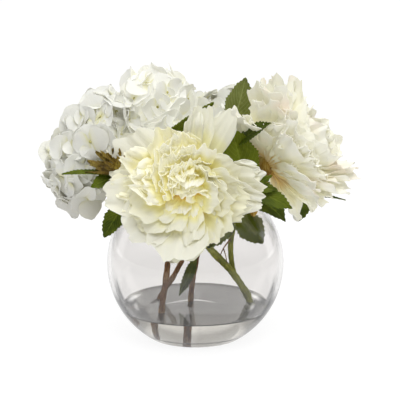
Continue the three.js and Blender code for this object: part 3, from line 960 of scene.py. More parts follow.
# Rings of petals from the outside in, with the fields of Ring in order.
RIGHT_INNER = [
    Ring(7, 20, 360, 7, 4, 42, 17, 60, 42, 0.5, 2.4, 0.014, 0.7, 1.2),
    Ring(6, 0, 360, 6, 8, 37, 16, 46, 14, 0.55, 2.2, 0.014, 0.7, 1.2),
    Ring(4, 30, 360, 4, 9, 35, 14, 30, -20, 0.6, 1.8, 0.014, 0.6, 1),
    Ring(2, 10, 360, 2, 10, 28, 11, 18, -40, 0.6, 1.4, 0.014, 0.5, 1),
]
RIGHT_FILLING = [
    Ring(8, 35, 360, 7, 2, 45, 18, 72, 46, 0.5, 3, 0.016, 0.7, 1.3),
    Ring(7, 8, 360, 7, 6, 41, 17, 54, 6, 0.6, 2.8, 0.016, 0.7, 1.3),
    Ring(6, 28, 360, 6, 8, 36, 15, 42, -24, 0.6, 2.4, 0.016, 0.7, 1.3),
    Ring(4, 5, 360, 4, 9, 34, 13, 28, -46, 0.7, 2, 0.016, 0.6, 1.1),
]
FRONT_INNER = [
    Ring(5, -166, 98, 6, 1, 51, 20, 54, 88, -0.3, 1.4, 0.015, 0.25, 0.7),
    Ring(6, -156, 132, 6, 6, 45, 15, 48, 88, -0.4, 1.6, 0.02, 0.4, 0.9, lap=0.5),
    Ring(4, -140, 130, 5, 10, 34, 13, 42, 84, -0.4, 1.6, 0.02, 0.4, 0.9, lap=0.55),
    Ring(4, -20, 54, 6, 3, 46, 16, 68, 74, 0.4, 2.6, 0.06, 0.4, 1),
    Ring(3, -26, 62, 5, 8, 38, 15, 56, 70, 0.3, 2.6, 0.04, 0.4, 1, lap=0.4),
    Ring(3, -14, 60, 4, 11, 30, 14, 48, 62, 0.3, 2.2, 0.03, 0.4, 1),
    Ring(4, 24, 84, 7, 8, 33, 15, 62, 4, -0.4, 2.4, 0.03, 0.6, 1.1),
]
FRONT_FILLING = [
    Ring(3, 84, 48, 7, 2, 50, 15, 74, 66, 0.4, 5, 0.04, 1.1, 1.8, lap=0.35),
    Ring(4, 124, 50, 7, 2, 36, 16, 74, 62, 0.4, 5, 0.05, 1.1, 1.8, lap=0.35),
    Ring(6, 72, 122, 6, 7, 43, 16, 70, 48, 0.4, 4.6, 0.04, 1, 1.7, lap=0.4),
    Ring(6, 84, 116, 6, 11, 37, 14, 66, 36, 0.4, 4.6, 0.04, 1, 1.7, lap=0.4),
    Ring(5, 76, 116, 5, 14, 29, 12, 58, 24, 0.4, 4, 0.04, 0.9, 1.5, lap=0.4),
    Ring(4, 80, 100, 4, 15, 22, 11, 48, -6, 0.4, 3.2, 0.04, 0.8, 1.4, lap=0.4),
    Ring(4, 160, 46, 7, 2, 55, 14, 76, 78, 0.4, 4.4, 0.08, 0.9, 1.4, curl=-0.6),
    Ring(4, -132, 100, 3, 12, 22, 7, 34, 72, -0.5, 1, 0.02, 0.3, 0.6, lap=0.3, curl=0.4),
    Ring(5, 20, 130, 6, 9, 30, 12, 46, -48, -0.5, 2.2, 0.03, 0.7, 1.1),
    Ring(4, 10, 150, 3.5, 9, 27, 10, 26, -52, -0.5, 2, 0.03, 0.6, 1),
]

# Single petals: azimuth, length, half width, openings at root and tip, cup and wave, then lap and roughness.
FRONT_FILL = [
    (150, 66, 22, 88, 91, -0.4, 0.8, 0.1, 0.4),
    (61, 68, 12, 94, 94, -0.35, 1, 0.1, 0.5),
    (112, 45, 12, 86, 84, -0.5, 1, 0.1, 0.5),
    (136, 60, 17, 90, 90, -0.4, 1, 0.1, 0.5),
    (170, 58, 18, 84, 82, 0.4, 4, 0.3, 1.6),
    (84, 62, 10, 79, 84, 1.2, 2.5, 0.4, 2.6),
    (14, 60, 14, 80, 76, 0.4, 4, 0.3, 2.4),
    (-8, 60, 14, 72, 78, 0.4, 4, 0.3, 2.4),
]
RIGHT_FILL = [
    (112, 74, 16, 62, 56, 0.3, 5, 0.8, 4),
    (100, 74, 16, 52, 44, 0.35, 5, 0.7, 4),
    (128, 58, 14, 82, 82, 0.3, 4, 0.8, 2.5),
    (88, 74, 16, 40, 26, 0.4, 5, 0.6, 3.6),
    (122, 70, 14, 56, 48, 0.3, 5, 0.8, 3.6),
    (104, 68, 12, 62, 52, 0.3, 5, 0.9, 4),
    (118, 62, 12, 68, 58, 0.3, 5, 0.9, 3.8),
    (94, 66, 12, 50, 38, 0.3, 5, 0.8, 4),
    (150, 60, 14, 62, 48, 0.5, 5, 0.5, 3.2),
    (165, 54, 14, 56, 38, 0.5, 5, 0.3, 3.2),
    (136, 64, 13, 50, 36, 0.5, 5, 0.6, 3.6),
    (185, 56, 14, 46, 28, 0.5, 5, 0.2, 3),
    (-160, 54, 15, 44, 30, 0.5, 5, 0.16, 2.6),
    (-138, 52, 15, 56, 48, 0.5, 4, 0.16, 2.2),
    (-118, 30, 12, 104, 112, 0.5, 1.5, 0.16, 0.8),
    (62, 68, 18, 48, 34, 0.5, 3, 0.16, 1.4),
    (20, 56, 17, 58, 50, 0.5, 3, 0.16, 1.4),
    (-92, 74, 22, 38, 28, 0.5, 3, 0.16, 1.2),
    (-112, 70, 21, 50, 38, 0.5, 3, 0.2, 1.2),
    (-132, 64, 19, 48, 34, 0.5, 3, 0.3, 1.4),
    (-84, 68, 17, 48, 36, 0.4, 3, 0.3, 1.4),
    (-88, 72, 14, 34, 20, 0.5, 3, 0.16, 1.2),
    (-102, 70, 14, 30, 16, 0.5, 3, 0.3, 1.2),
    (80, 73, 13, 46, 34, 0.4, 3, 0.4, 1.6),
    (54, 70, 13, 46, 36, 0.4, 3, 0.3, 1.6),
    (120, 50, 16, 76, 78, 0.3, 3, 0.4, 2),
    (-146, 46, 12, 62, 40, 0.5, 5, 0.3, 3.4),
    (-172, 44, 12, 60, 40, 0.5, 5, 0.3, 3.4),
    (158, 48, 12, 66, 44, 0.5, 5, 0.4, 3.6),
    (172, 60, 12, 56, 34, 0.5, 5, 0.3, 3.6),
    (-166, 62, 12, 52, 32, 0.5, 5, 0.3, 3.6),
    (-72, 67, 17, 36, 28, 0.5, 4, 0.16, 2),
    (-80, 54, 20, 74, 70, 0.5, 4, 0.16, 2),
    (132, 70, 12, 58, 48, 0.3, 5, 0.8, 3.6),
]
FRONT_OUTER = [
    (78, 66, 14, 82, 90, 1.1, 1.5),
    (61, 70, 12, 96, 98, -0.4, 1.2),
    (13, 58, 15, 76, 80, 0.5, 3.5),
    (2, 59, 19, 72, 84, 0.5, 3.5),
    (-26, 48, 13, 68, 74, 0.5, 3.5),
    (-64, 45, 14, 58, 66, 0.5, 3),
    (-100, 62, 26, 55, 60, 0.5, 2.5),
    (-143, 60, 23, 66, 70, 0.5, 3.5),
    (-176, 66, 20, 72, 76, 0.5, 3.5),
    (152, 69, 21, 94, 97, 0.5, 2),
    (117, 46, 15, 82, 86, 0.6, 3),
    (100, 44, 14, 70, 74, 0.6, 3),
]
RIGHT_OUTER = [
    (112, 58, 18, 88, 92, 0.5, 2.5),
    (74, 67, 19, 66, 62, 0.5, 3),
    (120, 75, 20, 54, 52, 0.4, 5),
    (38, 68, 22, 68, 68, 0.5, 3.5),
    (6, 62, 22, 72, 72, 0.5, 3),
    (-26, 62, 22, 70, 68, 0.5, 3),
    (-58, 60, 21, 64, 60, 0.5, 3),
    (-92, 50, 20, 86, 92, 0.5, 3),
    (-122, 58, 21, 62, 60, 0.6, 4.5),
    (-152, 62, 20, 50, 44, 0.6, 5),
    (175, 66, 20, 52, 44, 0.6, 5),
    (148, 70, 20, 56, 50, 0.6, 5),
]


@dataclass
class Peony:
    """A double bloom: outer petals placed one by one, then rings of inner petals, on a green base with sepals.

    Its finishes are those of the outer, the inner and the filling petals and of the base. Rows of outer hold
    azimuth, length, half width, openings at root and tip, cup and wave, and rows of fill lap and roughness too.
    stocks holds the faces along and across each outer, inner and filling petal.
    """

    node: str
    place: tuple
    way: tuple
    seed: int
    stretch: float
    rough: float
    finishes: list[Material]
    outer: list[tuple]
    fill: list[tuple]
    inner_rings: list[Ring]
    filling_rings: list[Ring]
    thickness: float = 0.5
    base_radius: float = 11.0
    base_flatness: float = 0.75
    sepals: int = 5
    sepal_thickness: float = 0.7
    stocks: tuple = ((20, 24), (16, 22), (15, 20))

    @property
    def frame(self) -> Placing:
        """The bloom's own frame."""
        return Placing.facing(self.place, self.way)

    def outer_petals(self) -> list[Petal]:
        """The outer petals, from their tables.

        Returns:
            The petals.
        """
        placed = [
            Petal(*form, 3 * scatter(self.seed, i), fray=0.035, pleat=0.5 * self.rough, crumple=0.6 * self.rough)
            for i, form in enumerate(self.outer)
        ]
        for i, (*form, lap, rough) in enumerate(self.fill):
            edges = {"fray": 0.012 * rough, "pleat": 0.6 * rough, "crumple": 0.6 * rough, "curl": 0.15 * rough}
            placed.append(Petal(*form, 3 * scatter(self.seed, 40 + i), lap=lap, **edges))
        return placed

    def ring_petals(self, rings: list[Ring], first_item: int) -> list[Petal]:
        """The petals of some rings.

        Args:
            rings: the rings.
            first_item: where their scatter starts.

        Returns:
            The petals.
        """
        start = self.seed * BLOOM_ITEMS + first_item
        return [
            ring.petal(i, start + level * 20 + i, self.stretch)
            for level, ring in enumerate(rings)
            for i in range(ring.count)
        ]

    def petals_piece(self, part: str, petals: list[Petal], layer: int, *nodes: str) -> None:
        """Cuts, joins, thickens and settles some of the petals.

        Args:
            part: which of the bloom's parts they are.
            petals: the petals.
            layer: which of the bloom's stocks and finishes they take.
            nodes: the solid that they stand for, if any.
        """
        name = f"{self.node}_{part}_petals"
        sheet = Sheet(*self.stocks[layer])
        frame = self.frame
        cut = [
            sheet.grow(f"{name}_{i}", petal, frame, scatter(self.seed + i, 91)) for i, petal in enumerate(petals)
        ]
        piece = Bench.join(name, cut)
        Bench.thicken(piece, self.thickness)
        Bench.dress(piece, self.finishes[layer])
        Bench.settle(piece, Slot.PEONY, *nodes)

    def base_piece(self) -> None:
        """Makes the green base of the bloom with its sepals."""
        frame = self.frame
        base = Bench.ball(3, self.base_radius * MM)
        base.data.transform(Matrix.Diagonal((1, 1, self.base_flatness, 1)))
        turn = Matrix([list(axis) for axis in frame.axes.T]).to_4x4()
        base.data.transform(Matrix.Translation(Vector(frame.place * MM)) @ turn)
        sheet = Sheet(*SMALL_STOCK)
        sepals = []
        for i in range(self.sepals):
            azimuth = 360 / self.sepals * i + 20
            sepal = Petal(azimuth, 24, 9, 118, 92, 0.5, 0.6, i, root=3, lift=-7, fray=0, pleat=0.2)
            sepals.append(sheet.grow(f"sepal_{i}", sepal, frame))
        leaves = Bench.join(f"{self.node}_sepals", sepals)
        Bench.thicken(leaves, self.sepal_thickness)
        piece = Bench.join(f"{self.node}_base", [base, leaves])
        Bench.dress(piece, self.finishes[3])
        Bench.settle(piece, Slot.GREEN)

    def build(self) -> None:
        """Makes all the pieces of the bloom."""
        self.petals_piece("outer", self.outer_petals(), 0, self.node)
        self.petals_piece("inner", self.ring_petals(self.inner_rings, 0), 1)
        self.petals_piece("filling", self.ring_petals(self.filling_rings, 600), 2)
        self.base_piece()


@dataclass(frozen=True)
class FloretPetal:
    """One of a floret's four rounded petals, in the floret's own frame."""

    azimuth: float
    length: float
    width: float
    rise: float
    twist: float
    cup: float
    phase: float
    level: float
    dome: float

    def points(self, s: np.ndarray, t: np.ndarray) -> np.ndarray:
        """The petal's surface.

        Args:
            s: from 0 at the root to 1 at the tip.
            t: from -1 to 1 across.

        Returns:
            One point for each pair.
        """
        reach = 1.0 + (self.length - 1.0) * s * (1 - 0.2 * t**2 + 0.03 * np.sin(5 * t + self.phase))
        half = self.width * (1 - np.abs(2 * (0.07 + 0.85 * s**0.85) - 1) ** 2.4) ** (1 / 2.4)
        share = reach / self.length
        up = self.level + tan(radians(self.rise)) * reach - reach**2 / (2 * self.dome)
        up = up + self.cup * (t**2 - 0.5 * share**3) * share + tan(radians(self.twist)) * half * t
        up = up + 0.7 * share**2 * np.sin(3.1 * t + 2 * share + self.phase) - 0.5 * np.exp(-((t / 0.15) ** 2)) * share
        turn = radians(self.azimuth)
        across = half * t
        return np.stack(
            [reach * cos(turn) - across * sin(turn), reach * sin(turn) + across * cos(turn), up],
            axis=1,
        )


@dataclass
class HydrangeaHead:
    """A round head of florets, in layers as in its solid, with deeper florets in the gaps and stalks below.

    layers says how many steps each floret is set in, and deeper gives the share, depth, size and tilt of the others.
    spare is how many places there are for each floret, since the stem takes some.
    """

    node: str
    centre: tuple
    radii: tuple
    lean: float
    stem_way: tuple
    florets: int
    seed: int
    layers: tuple
    sunk: float
    finish: Material
    eye_finish: Material
    floret_radius: float = 16.0
    eye_radius: float = 1.2
    eye_height: float = 0.7
    stalk_radius: float = 0.8
    stalk_share: float = 0.5
    thickness: float = 0.45
    spare: float = 1.15
    skip_near_stem: float = 0.75
    heart_depth: float = 20.0
    heart_lumps: float = 0.06
    layer_step: float = 2.2
    tilt: float = 0.4
    deeper: tuple = ((1.5, 4.5, 0.9, 0.5), (1.5, 8.5, 0.88, 0.5))
    deeper_scatter: float = 1.8

    def places(self, total: int, start: float) -> list[tuple[int, np.ndarray, np.ndarray]]:
        """Even places on the head, less those where the stem comes in.

        Args:
            total: how many there would be all round.
            start: the first one's azimuth, in radians.

        Returns:
            For each its number, its place and the way that it faces.
        """
        inwards = unit(self.stem_way)
        radii = np.array(self.radii, float)
        turn = radians(self.lean)
        leant = np.array([[cos(turn), 0, -sin(turn)], [0, 1, 0], [sin(turn), 0, cos(turn)]])
        found = []
        for i in range(total):
            height = 1 - 2 * (i + 0.5) / total
            azimuth = radians(i * GOLDEN_ANGLE) + start
            ring = sqrt(1 - height * height)
            way = np.array([ring * cos(azimuth), ring * sin(azimuth), height])
            if way @ leant @ inwards <= self.skip_near_stem:
                found.append((i, np.array(self.centre) + way * radii @ leant, unit(way / radii) @ leant))
        return found

    def seats(self) -> list[tuple]:
        """Where the florets sit.

        Returns:
            For each its number, its middle, the way that it faces, its size and its tilt.
        """
        found = []
        for i, place, way in self.places(int(self.florets * self.spare + 0.5), self.seed):
            if self.layers[i] != NO:
                depth = self.layer_step * self.layers[i] + self.sunk
                found.append((self.seed * BLOOM_ITEMS + i, place - way * depth, way, 1.0, self.tilt))
        for layer, (share, depth, size, tilt) in enumerate(self.deeper):
            for i, place, way in self.places(round(self.florets * share), self.seed + 1.7 + 1.1 * layer):
                item = self.seed * BLOOM_ITEMS + 50 + 300 * layer + i
                inwards = self.sunk + depth + self.deeper_scatter * scatter(item, 64)
                found.append((item, place - way * inwards, way, size, tilt))
        return found

    def floret(self, item: int, frame: Placing, size: float, sheet: Sheet) -> list[Object]:
        """The four petals of one floret.

        Args:
            item: the floret's number.
            frame: its place and axes.
            size: its size, where 1 is full.
            sheet: the stock.

        Returns:
            Its petals.
        """
        petals = []
        for k in range(4):
            tag = item * 4 + k
            petal = FloretPetal(
                azimuth=90 * k + 7 * scatter(tag, 41),
                length=self.floret_radius * size * (1.0 + 0.08 * scatter(tag, 42)),
                width=self.floret_radius * size * (0.7 + 0.06 * scatter(tag, 43)),
                rise=18 + 22 * scatter(tag, 44),
                twist=18 * scatter(tag, 45),
                cup=1.2 + 2.6 * scatter(tag, 46),
                phase=3 * scatter(tag, 47),
                level=0.5 if k % 2 else -0.5,
                dome=float(np.prod(self.radii)) ** (1 / 3),
            )
            petals.append(sheet.grow(f"{self.node}_petal_{tag}", petal, frame, scatter(tag, 48)))
        return petals

    def heart(self) -> Object:
        """The pale lumpy inside of the head, as far in as the florets' stalks are long.

        Returns:
            The heart.
        """
        heart = Bench.ball(4, 1.0)
        turn = Matrix.Rotation(radians(self.lean), 4, "Y")
        size = Matrix.Diagonal((*[(radius - self.heart_depth) * MM for radius in self.radii], 1))
        for point in heart.data.vertices:
            lumps = sin(9 * point.co.x + 7 * point.co.z) * sin(8 * point.co.y + 3 * point.co.z)
            point.co *= 1 + self.heart_lumps * lumps
        heart.data.transform(Matrix.Translation(Vector(self.centre) * MM) @ turn @ size)
        heart.data.attributes.new("shade", "FLOAT", "POINT")
        return heart

    def build(self) -> None:
        """Makes the florets with the heart, then their eyes and stalks."""
        sheet = Sheet(5, 5)
        model = Bench.ball(2, self.eye_radius * MM)
        petals, small = [], []
        for item, seat, way, size, tilt in self.seats():
            lean = np.array([scatter(item, 61), scatter(item, 62), scatter(item, 63)])
            frame = Placing.facing(seat, unit(way + tilt * lean), 3 * scatter(item, 54))
            petals += self.floret(item, frame, size, sheet)
            eye = bpy.data.objects.new(f"{self.node}_eye_{item}", model.data.copy())
            eye.data.transform(Matrix.Translation(Vector((seat + self.eye_height * way) * MM)))
            bpy.context.collection.objects.link(eye)
            small.append(eye)
            if size == 1.0:
                inner_end = seat - self.stalk_share * (seat - np.array(self.centre, float))
                stalk = np.linspace(seat - 0.4 * way, inner_end, 4)
                small.append(make_tube(f"{self.node}_stalk_{item}", stalk, np.full(len(stalk), self.stalk_radius), 1))
        bpy.data.objects.remove(model)
        piece = Bench.join(f"{self.node}_florets", petals)
        Bench.thicken(piece, self.thickness)
        piece = Bench.join(f"{self.node}_florets", [piece, self.heart()])
        Bench.dress(piece, self.finish)
        Bench.settle(piece, Slot.HYDRANGEA, self.node)
        stalks = Bench.join(f"{self.node}_eyes_and_stalks", small)
        Bench.dress(stalks, self.eye_finish)
        Bench.settle(stalks, Slot.GREEN)


@dataclass(frozen=True)
class Blade:
    """A leaf blade from base to tip, whose upper face looks the way up points."""

    tip: tuple
    up: tuple
    width: float
    base: tuple | None = None
    bend: float = 2.0
    fold: float = 0.2
    tooth_pitch: float = 3.1
    tooth_depth: float = 1.5
    # Painted light and shade: lighter or darker green for this blade.
    shade: float = 0.0

    def teeth(self, base: tuple) -> int:
        """How many teeth each edge has."""
        return max(5, round(float(np.linalg.norm(np.subtract(self.tip, base))) / self.tooth_pitch))

    def points(self, base: tuple, s: np.ndarray, t: np.ndarray) -> np.ndarray:
        """The blade's surface.

        Args:
            base: where it starts.
            s: from 0 at the base to 1 at the tip.
            t: from -1 to 1 across.

        Returns:
            One point for each pair.
        """
        start = np.asarray(base, float)
        spine = np.asarray(self.tip, float) - start
        ahead = unit(spine)
        side = unit(np.cross(unit(self.up), ahead))
        face = np.cross(ahead, side)
        coarse = 2 if self.width < 9.5 else 3
        taper = np.sin(pi * (0.04 + 0.94 * s) ** 0.86) ** 0.8
        tooth = np.abs(np.cos(pi * coarse * s) * t)
        saw = (self.teeth(base) * s) % 1.0
        edge = np.clip((np.abs(t) - 0.55) / 0.45, 0, 1)
        half = self.width * taper * (1 - 0.08 * tooth)
        half = half + self.tooth_depth * (saw - 0.75) * edge * np.clip(4 * taper, 0, 1)
        rib = 0.45 * np.exp(-((t / 0.12) ** 2))
        furrow = 0.3 * np.sin(2 * pi * (9 * (s - 0.5 * np.abs(t)))) * np.sqrt(np.clip(1 - t**2, 0, 1))
        furrow = furrow * (self.width / 12)
        lift = self.bend * np.sin(pi * s) + self.fold * half * np.abs(t) - rib + furrow
        lift = lift + 0.05 * self.width * np.sin(2.2 * pi * s + 1.3) * t
        return start + spine * (s - 0.02 * tooth)[:, None] - side * (half * t)[:, None] + face * lift[:, None]


@dataclass
class Leaf:
    """A leaf: a stalk from its stem and one or more toothed blades."""

    node: str
    stalk: list
    blades: list[Blade]
    finishes: list[Material]
    stalk_finish: Material
    thickness: float = 0.55
    stalk_radius: float = 1.0
    stalk_taper: tuple = (1.15, 0.7)
    stalk_steps: int = 26
    grip_at: float = 0.12
    faces_across: int = 14

    def build(self) -> None:
        """Makes the leaf."""
        last = self.stalk[-1]
        pieces = []
        for number, blade in enumerate(self.blades):
            base = blade.base or last
            sheet = Sheet(4 * blade.teeth(base), self.faces_across)
            points = blade.points(base, sheet.along, sheet.across)
            pieces.append(sheet.cut(f"{self.node}_blade_{number}", points, blade.shade))
        grip = self.blades[1 if len(self.blades) > 1 and self.blades[0].base else 0]
        sunk = grip.points(grip.base or last, np.array([self.grip_at]), np.array([0.0]))[0]
        leaf = Bench.join(f"{self.node}_blades", pieces)
        Bench.dress(leaf, *self.finishes)
        Bench.thicken(leaf, self.thickness, lining=1)
        path = smooth_path([*self.stalk, sunk.tolist()], self.stalk_steps)
        taper = np.linspace(*self.stalk_taper, len(path)) * self.stalk_radius
        tube = make_tube(f"{self.node}_stalk", path, taper, 2)
        Bench.dress(tube, self.stalk_finish)
        Bench.settle(Bench.join(f"{self.node}_grown", [leaf, tube]), Slot.LEAF, self.node, sharp=50)


@dataclass
class Twigs:
    """Thin tapering twigs, each a path and the radius at its foot, that share one piece."""

    name: str
    twigs: list
    finish: Material
    steps: int = 12
    tip_share: float = 0.35

    def build(self) -> None:
        """Makes the twigs."""
        grown = []
        for number, (points, radius) in enumerate(self.twigs):
            taper = np.linspace(1.0, self.tip_share, self.steps + 1) * radius
            grown.append(make_tube(f"{self.name}_{number}", smooth_path(points, self.steps), taper, 2))
        piece = Bench.join(self.name, grown)
        Bench.dress(piece, self.finish)
        Bench.settle(piece, Slot.WOOD)


@dataclass
class Bud:
    """A bud on a short stalk, with long scales laid round it."""

    name: str
    finish: Material
    foot: tuple
    place: tuple
    way: tuple
    length: float
    width: float = 3.2
    opens: tuple = (34, -30)
    scales: int = 7
    lengths: tuple = (0.8, 1.1)
    turn: float = 51.4
    thickness: float = 0.5
    stalk_radius: float = 0.8

    def build(self) -> None:
        """Makes the bud."""
        frame = Placing.facing(self.place, self.way)
        sheet = Sheet(*SMALL_STOCK)
        parts = []
        for i in range(self.scales):
            long = self.length * self.lengths[i % 2]
            scale = Petal(self.turn * i, long, self.width, *self.opens, 1.2, 0.3, i, 0.6, -1.0, fray=0.02)
            parts.append(sheet.grow(f"{self.name}_scale_{i}", scale, frame))
        piece = Bench.join(f"{self.name}_scales", parts)
        Bench.thicken(piece, self.thickness)
        path = smooth_path([self.foot, self.place], 6)
        stalk = make_tube(f"{self.name}_stalk", path, np.full(len(path), self.stalk_radius), 2)
        piece = Bench.join(self.name, [piece, stalk])
        Bench.dress(piece, self.finish)
        Bench.settle(piece, Slot.GREEN)


# Twigs as their points and the radius at the foot.
LEFT_TWIGS = [
    ([(-54, -20, 141), (-57, -34, 149), (-61, -42, 153)], 1.8),
    ([(-57, -34, 149), (-66, -44, 162), (-72, -48, 168)], 1.2),
    ([(-57, -33, 149), (-56, -44, 160), (-58, -50, 167)], 1.1),
]
# Buds as foot, place, way, length, half width of a scale and how far the scales open.
LEFT_BUDS = [
    ((-57, -33, 149), (-61, -42, 152), (-0.97, -0.15, 0.2), 28, 2.6, (22, 0)),
    ((-57, -33, 149), (-61, -42, 154), (-0.35, -0.2, 0.92), 18, 2.4, (26, 2)),
    ((-57, -33, 149), (-61, -43, 153), (-0.8, -0.25, 0.5), 25, 2.5, (26, 6)),
]
LOW_TWIGS = [
    ([(31, 4.6, 84), (24, -8, 78), (19, -14, 68)], 0.8),
    ([(24, -8, 78), (26, -13, 72), (27, -16, 66)], 0.6),
    ([(33, 4.8, 92), (18, -14, 88), (12, -20, 82)], 0.7),
]

# Each leaf's stalk and its blades; a blade's shade paints it lighter or darker, as painted light and shade.
LEAVES = {
    "leaf_top": (
        [(37, 4.5, 105), (33, 14, 140), (31.3, 20, 176.8)],
        [Blade((43.0, 16, 221.7), (0.35, 1, 0.1), 13.5, fold=0.1)],
    ),
    "leaf_behind_front": (
        [(-8, 22, 124), (-20, -6, 150), (-28, -24, 175)],
        [Blade((15.6, -20, 206.2), (0.4, -0.8, -0.5), 10, shade=1.0)],
    ),
    "leaf_middle": (
        [(39, 4, 112), (40, -7, 124), (41.9, -14, 137.2), (35.5, -18, 171)],
        [
            Blade((30, -25, 186), (0.1, -1, 0.1), 17.5, base=(41.9, -14.5, 137.2), shade=1.2),
            Blade((62, -42, 192.5), (-0.2, -0.7, 0.7), 8.5, shade=-1.0),
        ],
    ),
    "leaf_right_lobed": (
        [(43.5, 3.7, 120), (47, -18, 134), (45.4, -41, 137.5)],
        [
            Blade((80, -48, 122), (0.2, -0.9, 0.5), 9),
            Blade((63.4, -44, 149), (0.2, -0.9, 0.5), 5),
            Blade((67.5, -47, 138), (0.2, -0.9, 0.5), 6),
        ],
    ),
    "leaf_right_broad": (
        [(36.5, 4.3, 104), (40, -8, 118), (43.5, -14, 124.5)],
        [Blade((75.5, -31, 107), (0.5, -0.6, 0.6), 14, bend=5, shade=-0.8)],
    ),
    "leaf_right_low": (
        [(51, 2.6, 132), (68, 18, 121), (90.5, 25, 115.8)],
        [
            Blade((89.8, 22, 94.6), (0.3, -1, 0), 10, shade=-0.3),
            Blade((130.5, 20, 114.3), (0, -0.2, 1), 3.5, shade=-1.0),
        ],
    ),
    "leaf_bowl_broad": (
        [(33, 4.8, 94), (34, -4, 103), (36.5, -10, 107)],
        [Blade((57, -17, 84.5), (0.3, -1, 0.1), 12.5, shade=1.4)],
    ),
    "leaf_bowl_fork": (
        [(31.6, 5, 88), (31.5, -6, 97), (31.1, -16, 102)],
        [Blade((9.9, -31, 84), (0.2, -0.8, 0.5), 8)],
    ),
    "leaf_stem_low": (
        [(3.2, 12.7, 76), (1.5, 8, 70), (0, 5, 66.5)],
        [Blade((-14.2, 0, 33.4), (0.2, -1, 0), 5.5)],
    ),
    "leaf_left": (
        [(-44, 2, 130), (-54, -20, 141), (-64.7, -34, 146.5)],
        [Blade((-109.1, -50, 151.5), (-0.1, -0.3, 1), 6), Blade((-85.5, -48, 140), (0, -0.9, 0.5), 8)],
    ),
    "leaf_left_low": (
        [(-36.5, 2.4, 120.5), (-48, -14, 128), (-59, -29, 121)],
        [Blade((-76.3, -34, 94), (-0.3, -0.9, 0.4), 10)],
    ),
    "leaf_back_left": (
        [(-6, 21.8, 112), (-22, 44, 130), (-34, 60, 138)],
        [Blade((-58, 84, 124), (-0.3, 0.5, 0.8), 14, bend=4)],
    ),
    "leaf_back_right": (
        [(8.5, 22, 106), (27, 33, 124), (50, 44, 124)],
        [Blade((82, 60, 105), (0.3, 0.4, 0.85), 13, bend=4)],
    ),
}

# The runs of each stem: the points that they pass and their radius.
WOODY_STEMS = {
    "stem_hydrangea_left": [
        ([(-30, -31, 9), (-28, -22, 32), (-23.5, -6, 70), (-27, 2, 104), (-44, 2, 130), (-70, -1, 150)], 2.6),
        ([(-44, 2, 130), (-58, -9, 146), (-69, -14, 160)], 1.6),
    ],
    "stem_hydrangea_top": [
        (
            [(-38, 15, 13), (-31, 16, 28), (-17, 19, 50), (-7, 21, 74), (-6, 22, 118), (-18, 23, 148),
             (-24, 24, 172)],
            2.2,
        ),
    ],
    "stem_hydrangea_back": [([(-5, 8, 9), (-3, 10, 40), (4, 13, 80), (11, 28, 118), (19, 50, 148)], 2.3)],
}
PEONY_STEM = [
    ([(50, 7, 16.5), (46, 6, 31), (31.6, 0, 55), (10, -19, 84), (-2, -36, 114), (-5.5, -46, 134)], 3.1),
    ([(34, 1, 51), (31, 3, 66), (31, 5, 84), (41, 4, 116), (57, 2, 138), (64, 0.5, 148)], 2.3),
]

# The layer of each floret of a head, from the top down, or NO where there is none.
NO = -1
LEFT_LAYERS = (
    0, 4, 1, 1, 0, 2, 4, 2, 4, 4, 2, 0, 0, 0, 1, 3, 4, 0, 2, NO, 2, NO, 0, 2, NO, 0, 0, NO, 0, 0, 2, 1, NO, 3, 0
)
TOP_LAYERS = (3, 1, 1, 1, 0, 0, 0, NO, 0, 0, 4, 1, NO, 1, 0, NO, 2, 0, 4, 2, NO, 0, 1, NO, NO, NO)
BACK_LAYERS = (0, 0, 1, 1, 2, 0, 1, 0, 0, 1, 1, 0, 3, 1, 0, 0, 0, NO, 0, 1, NO, 1, 0, NO, 2)


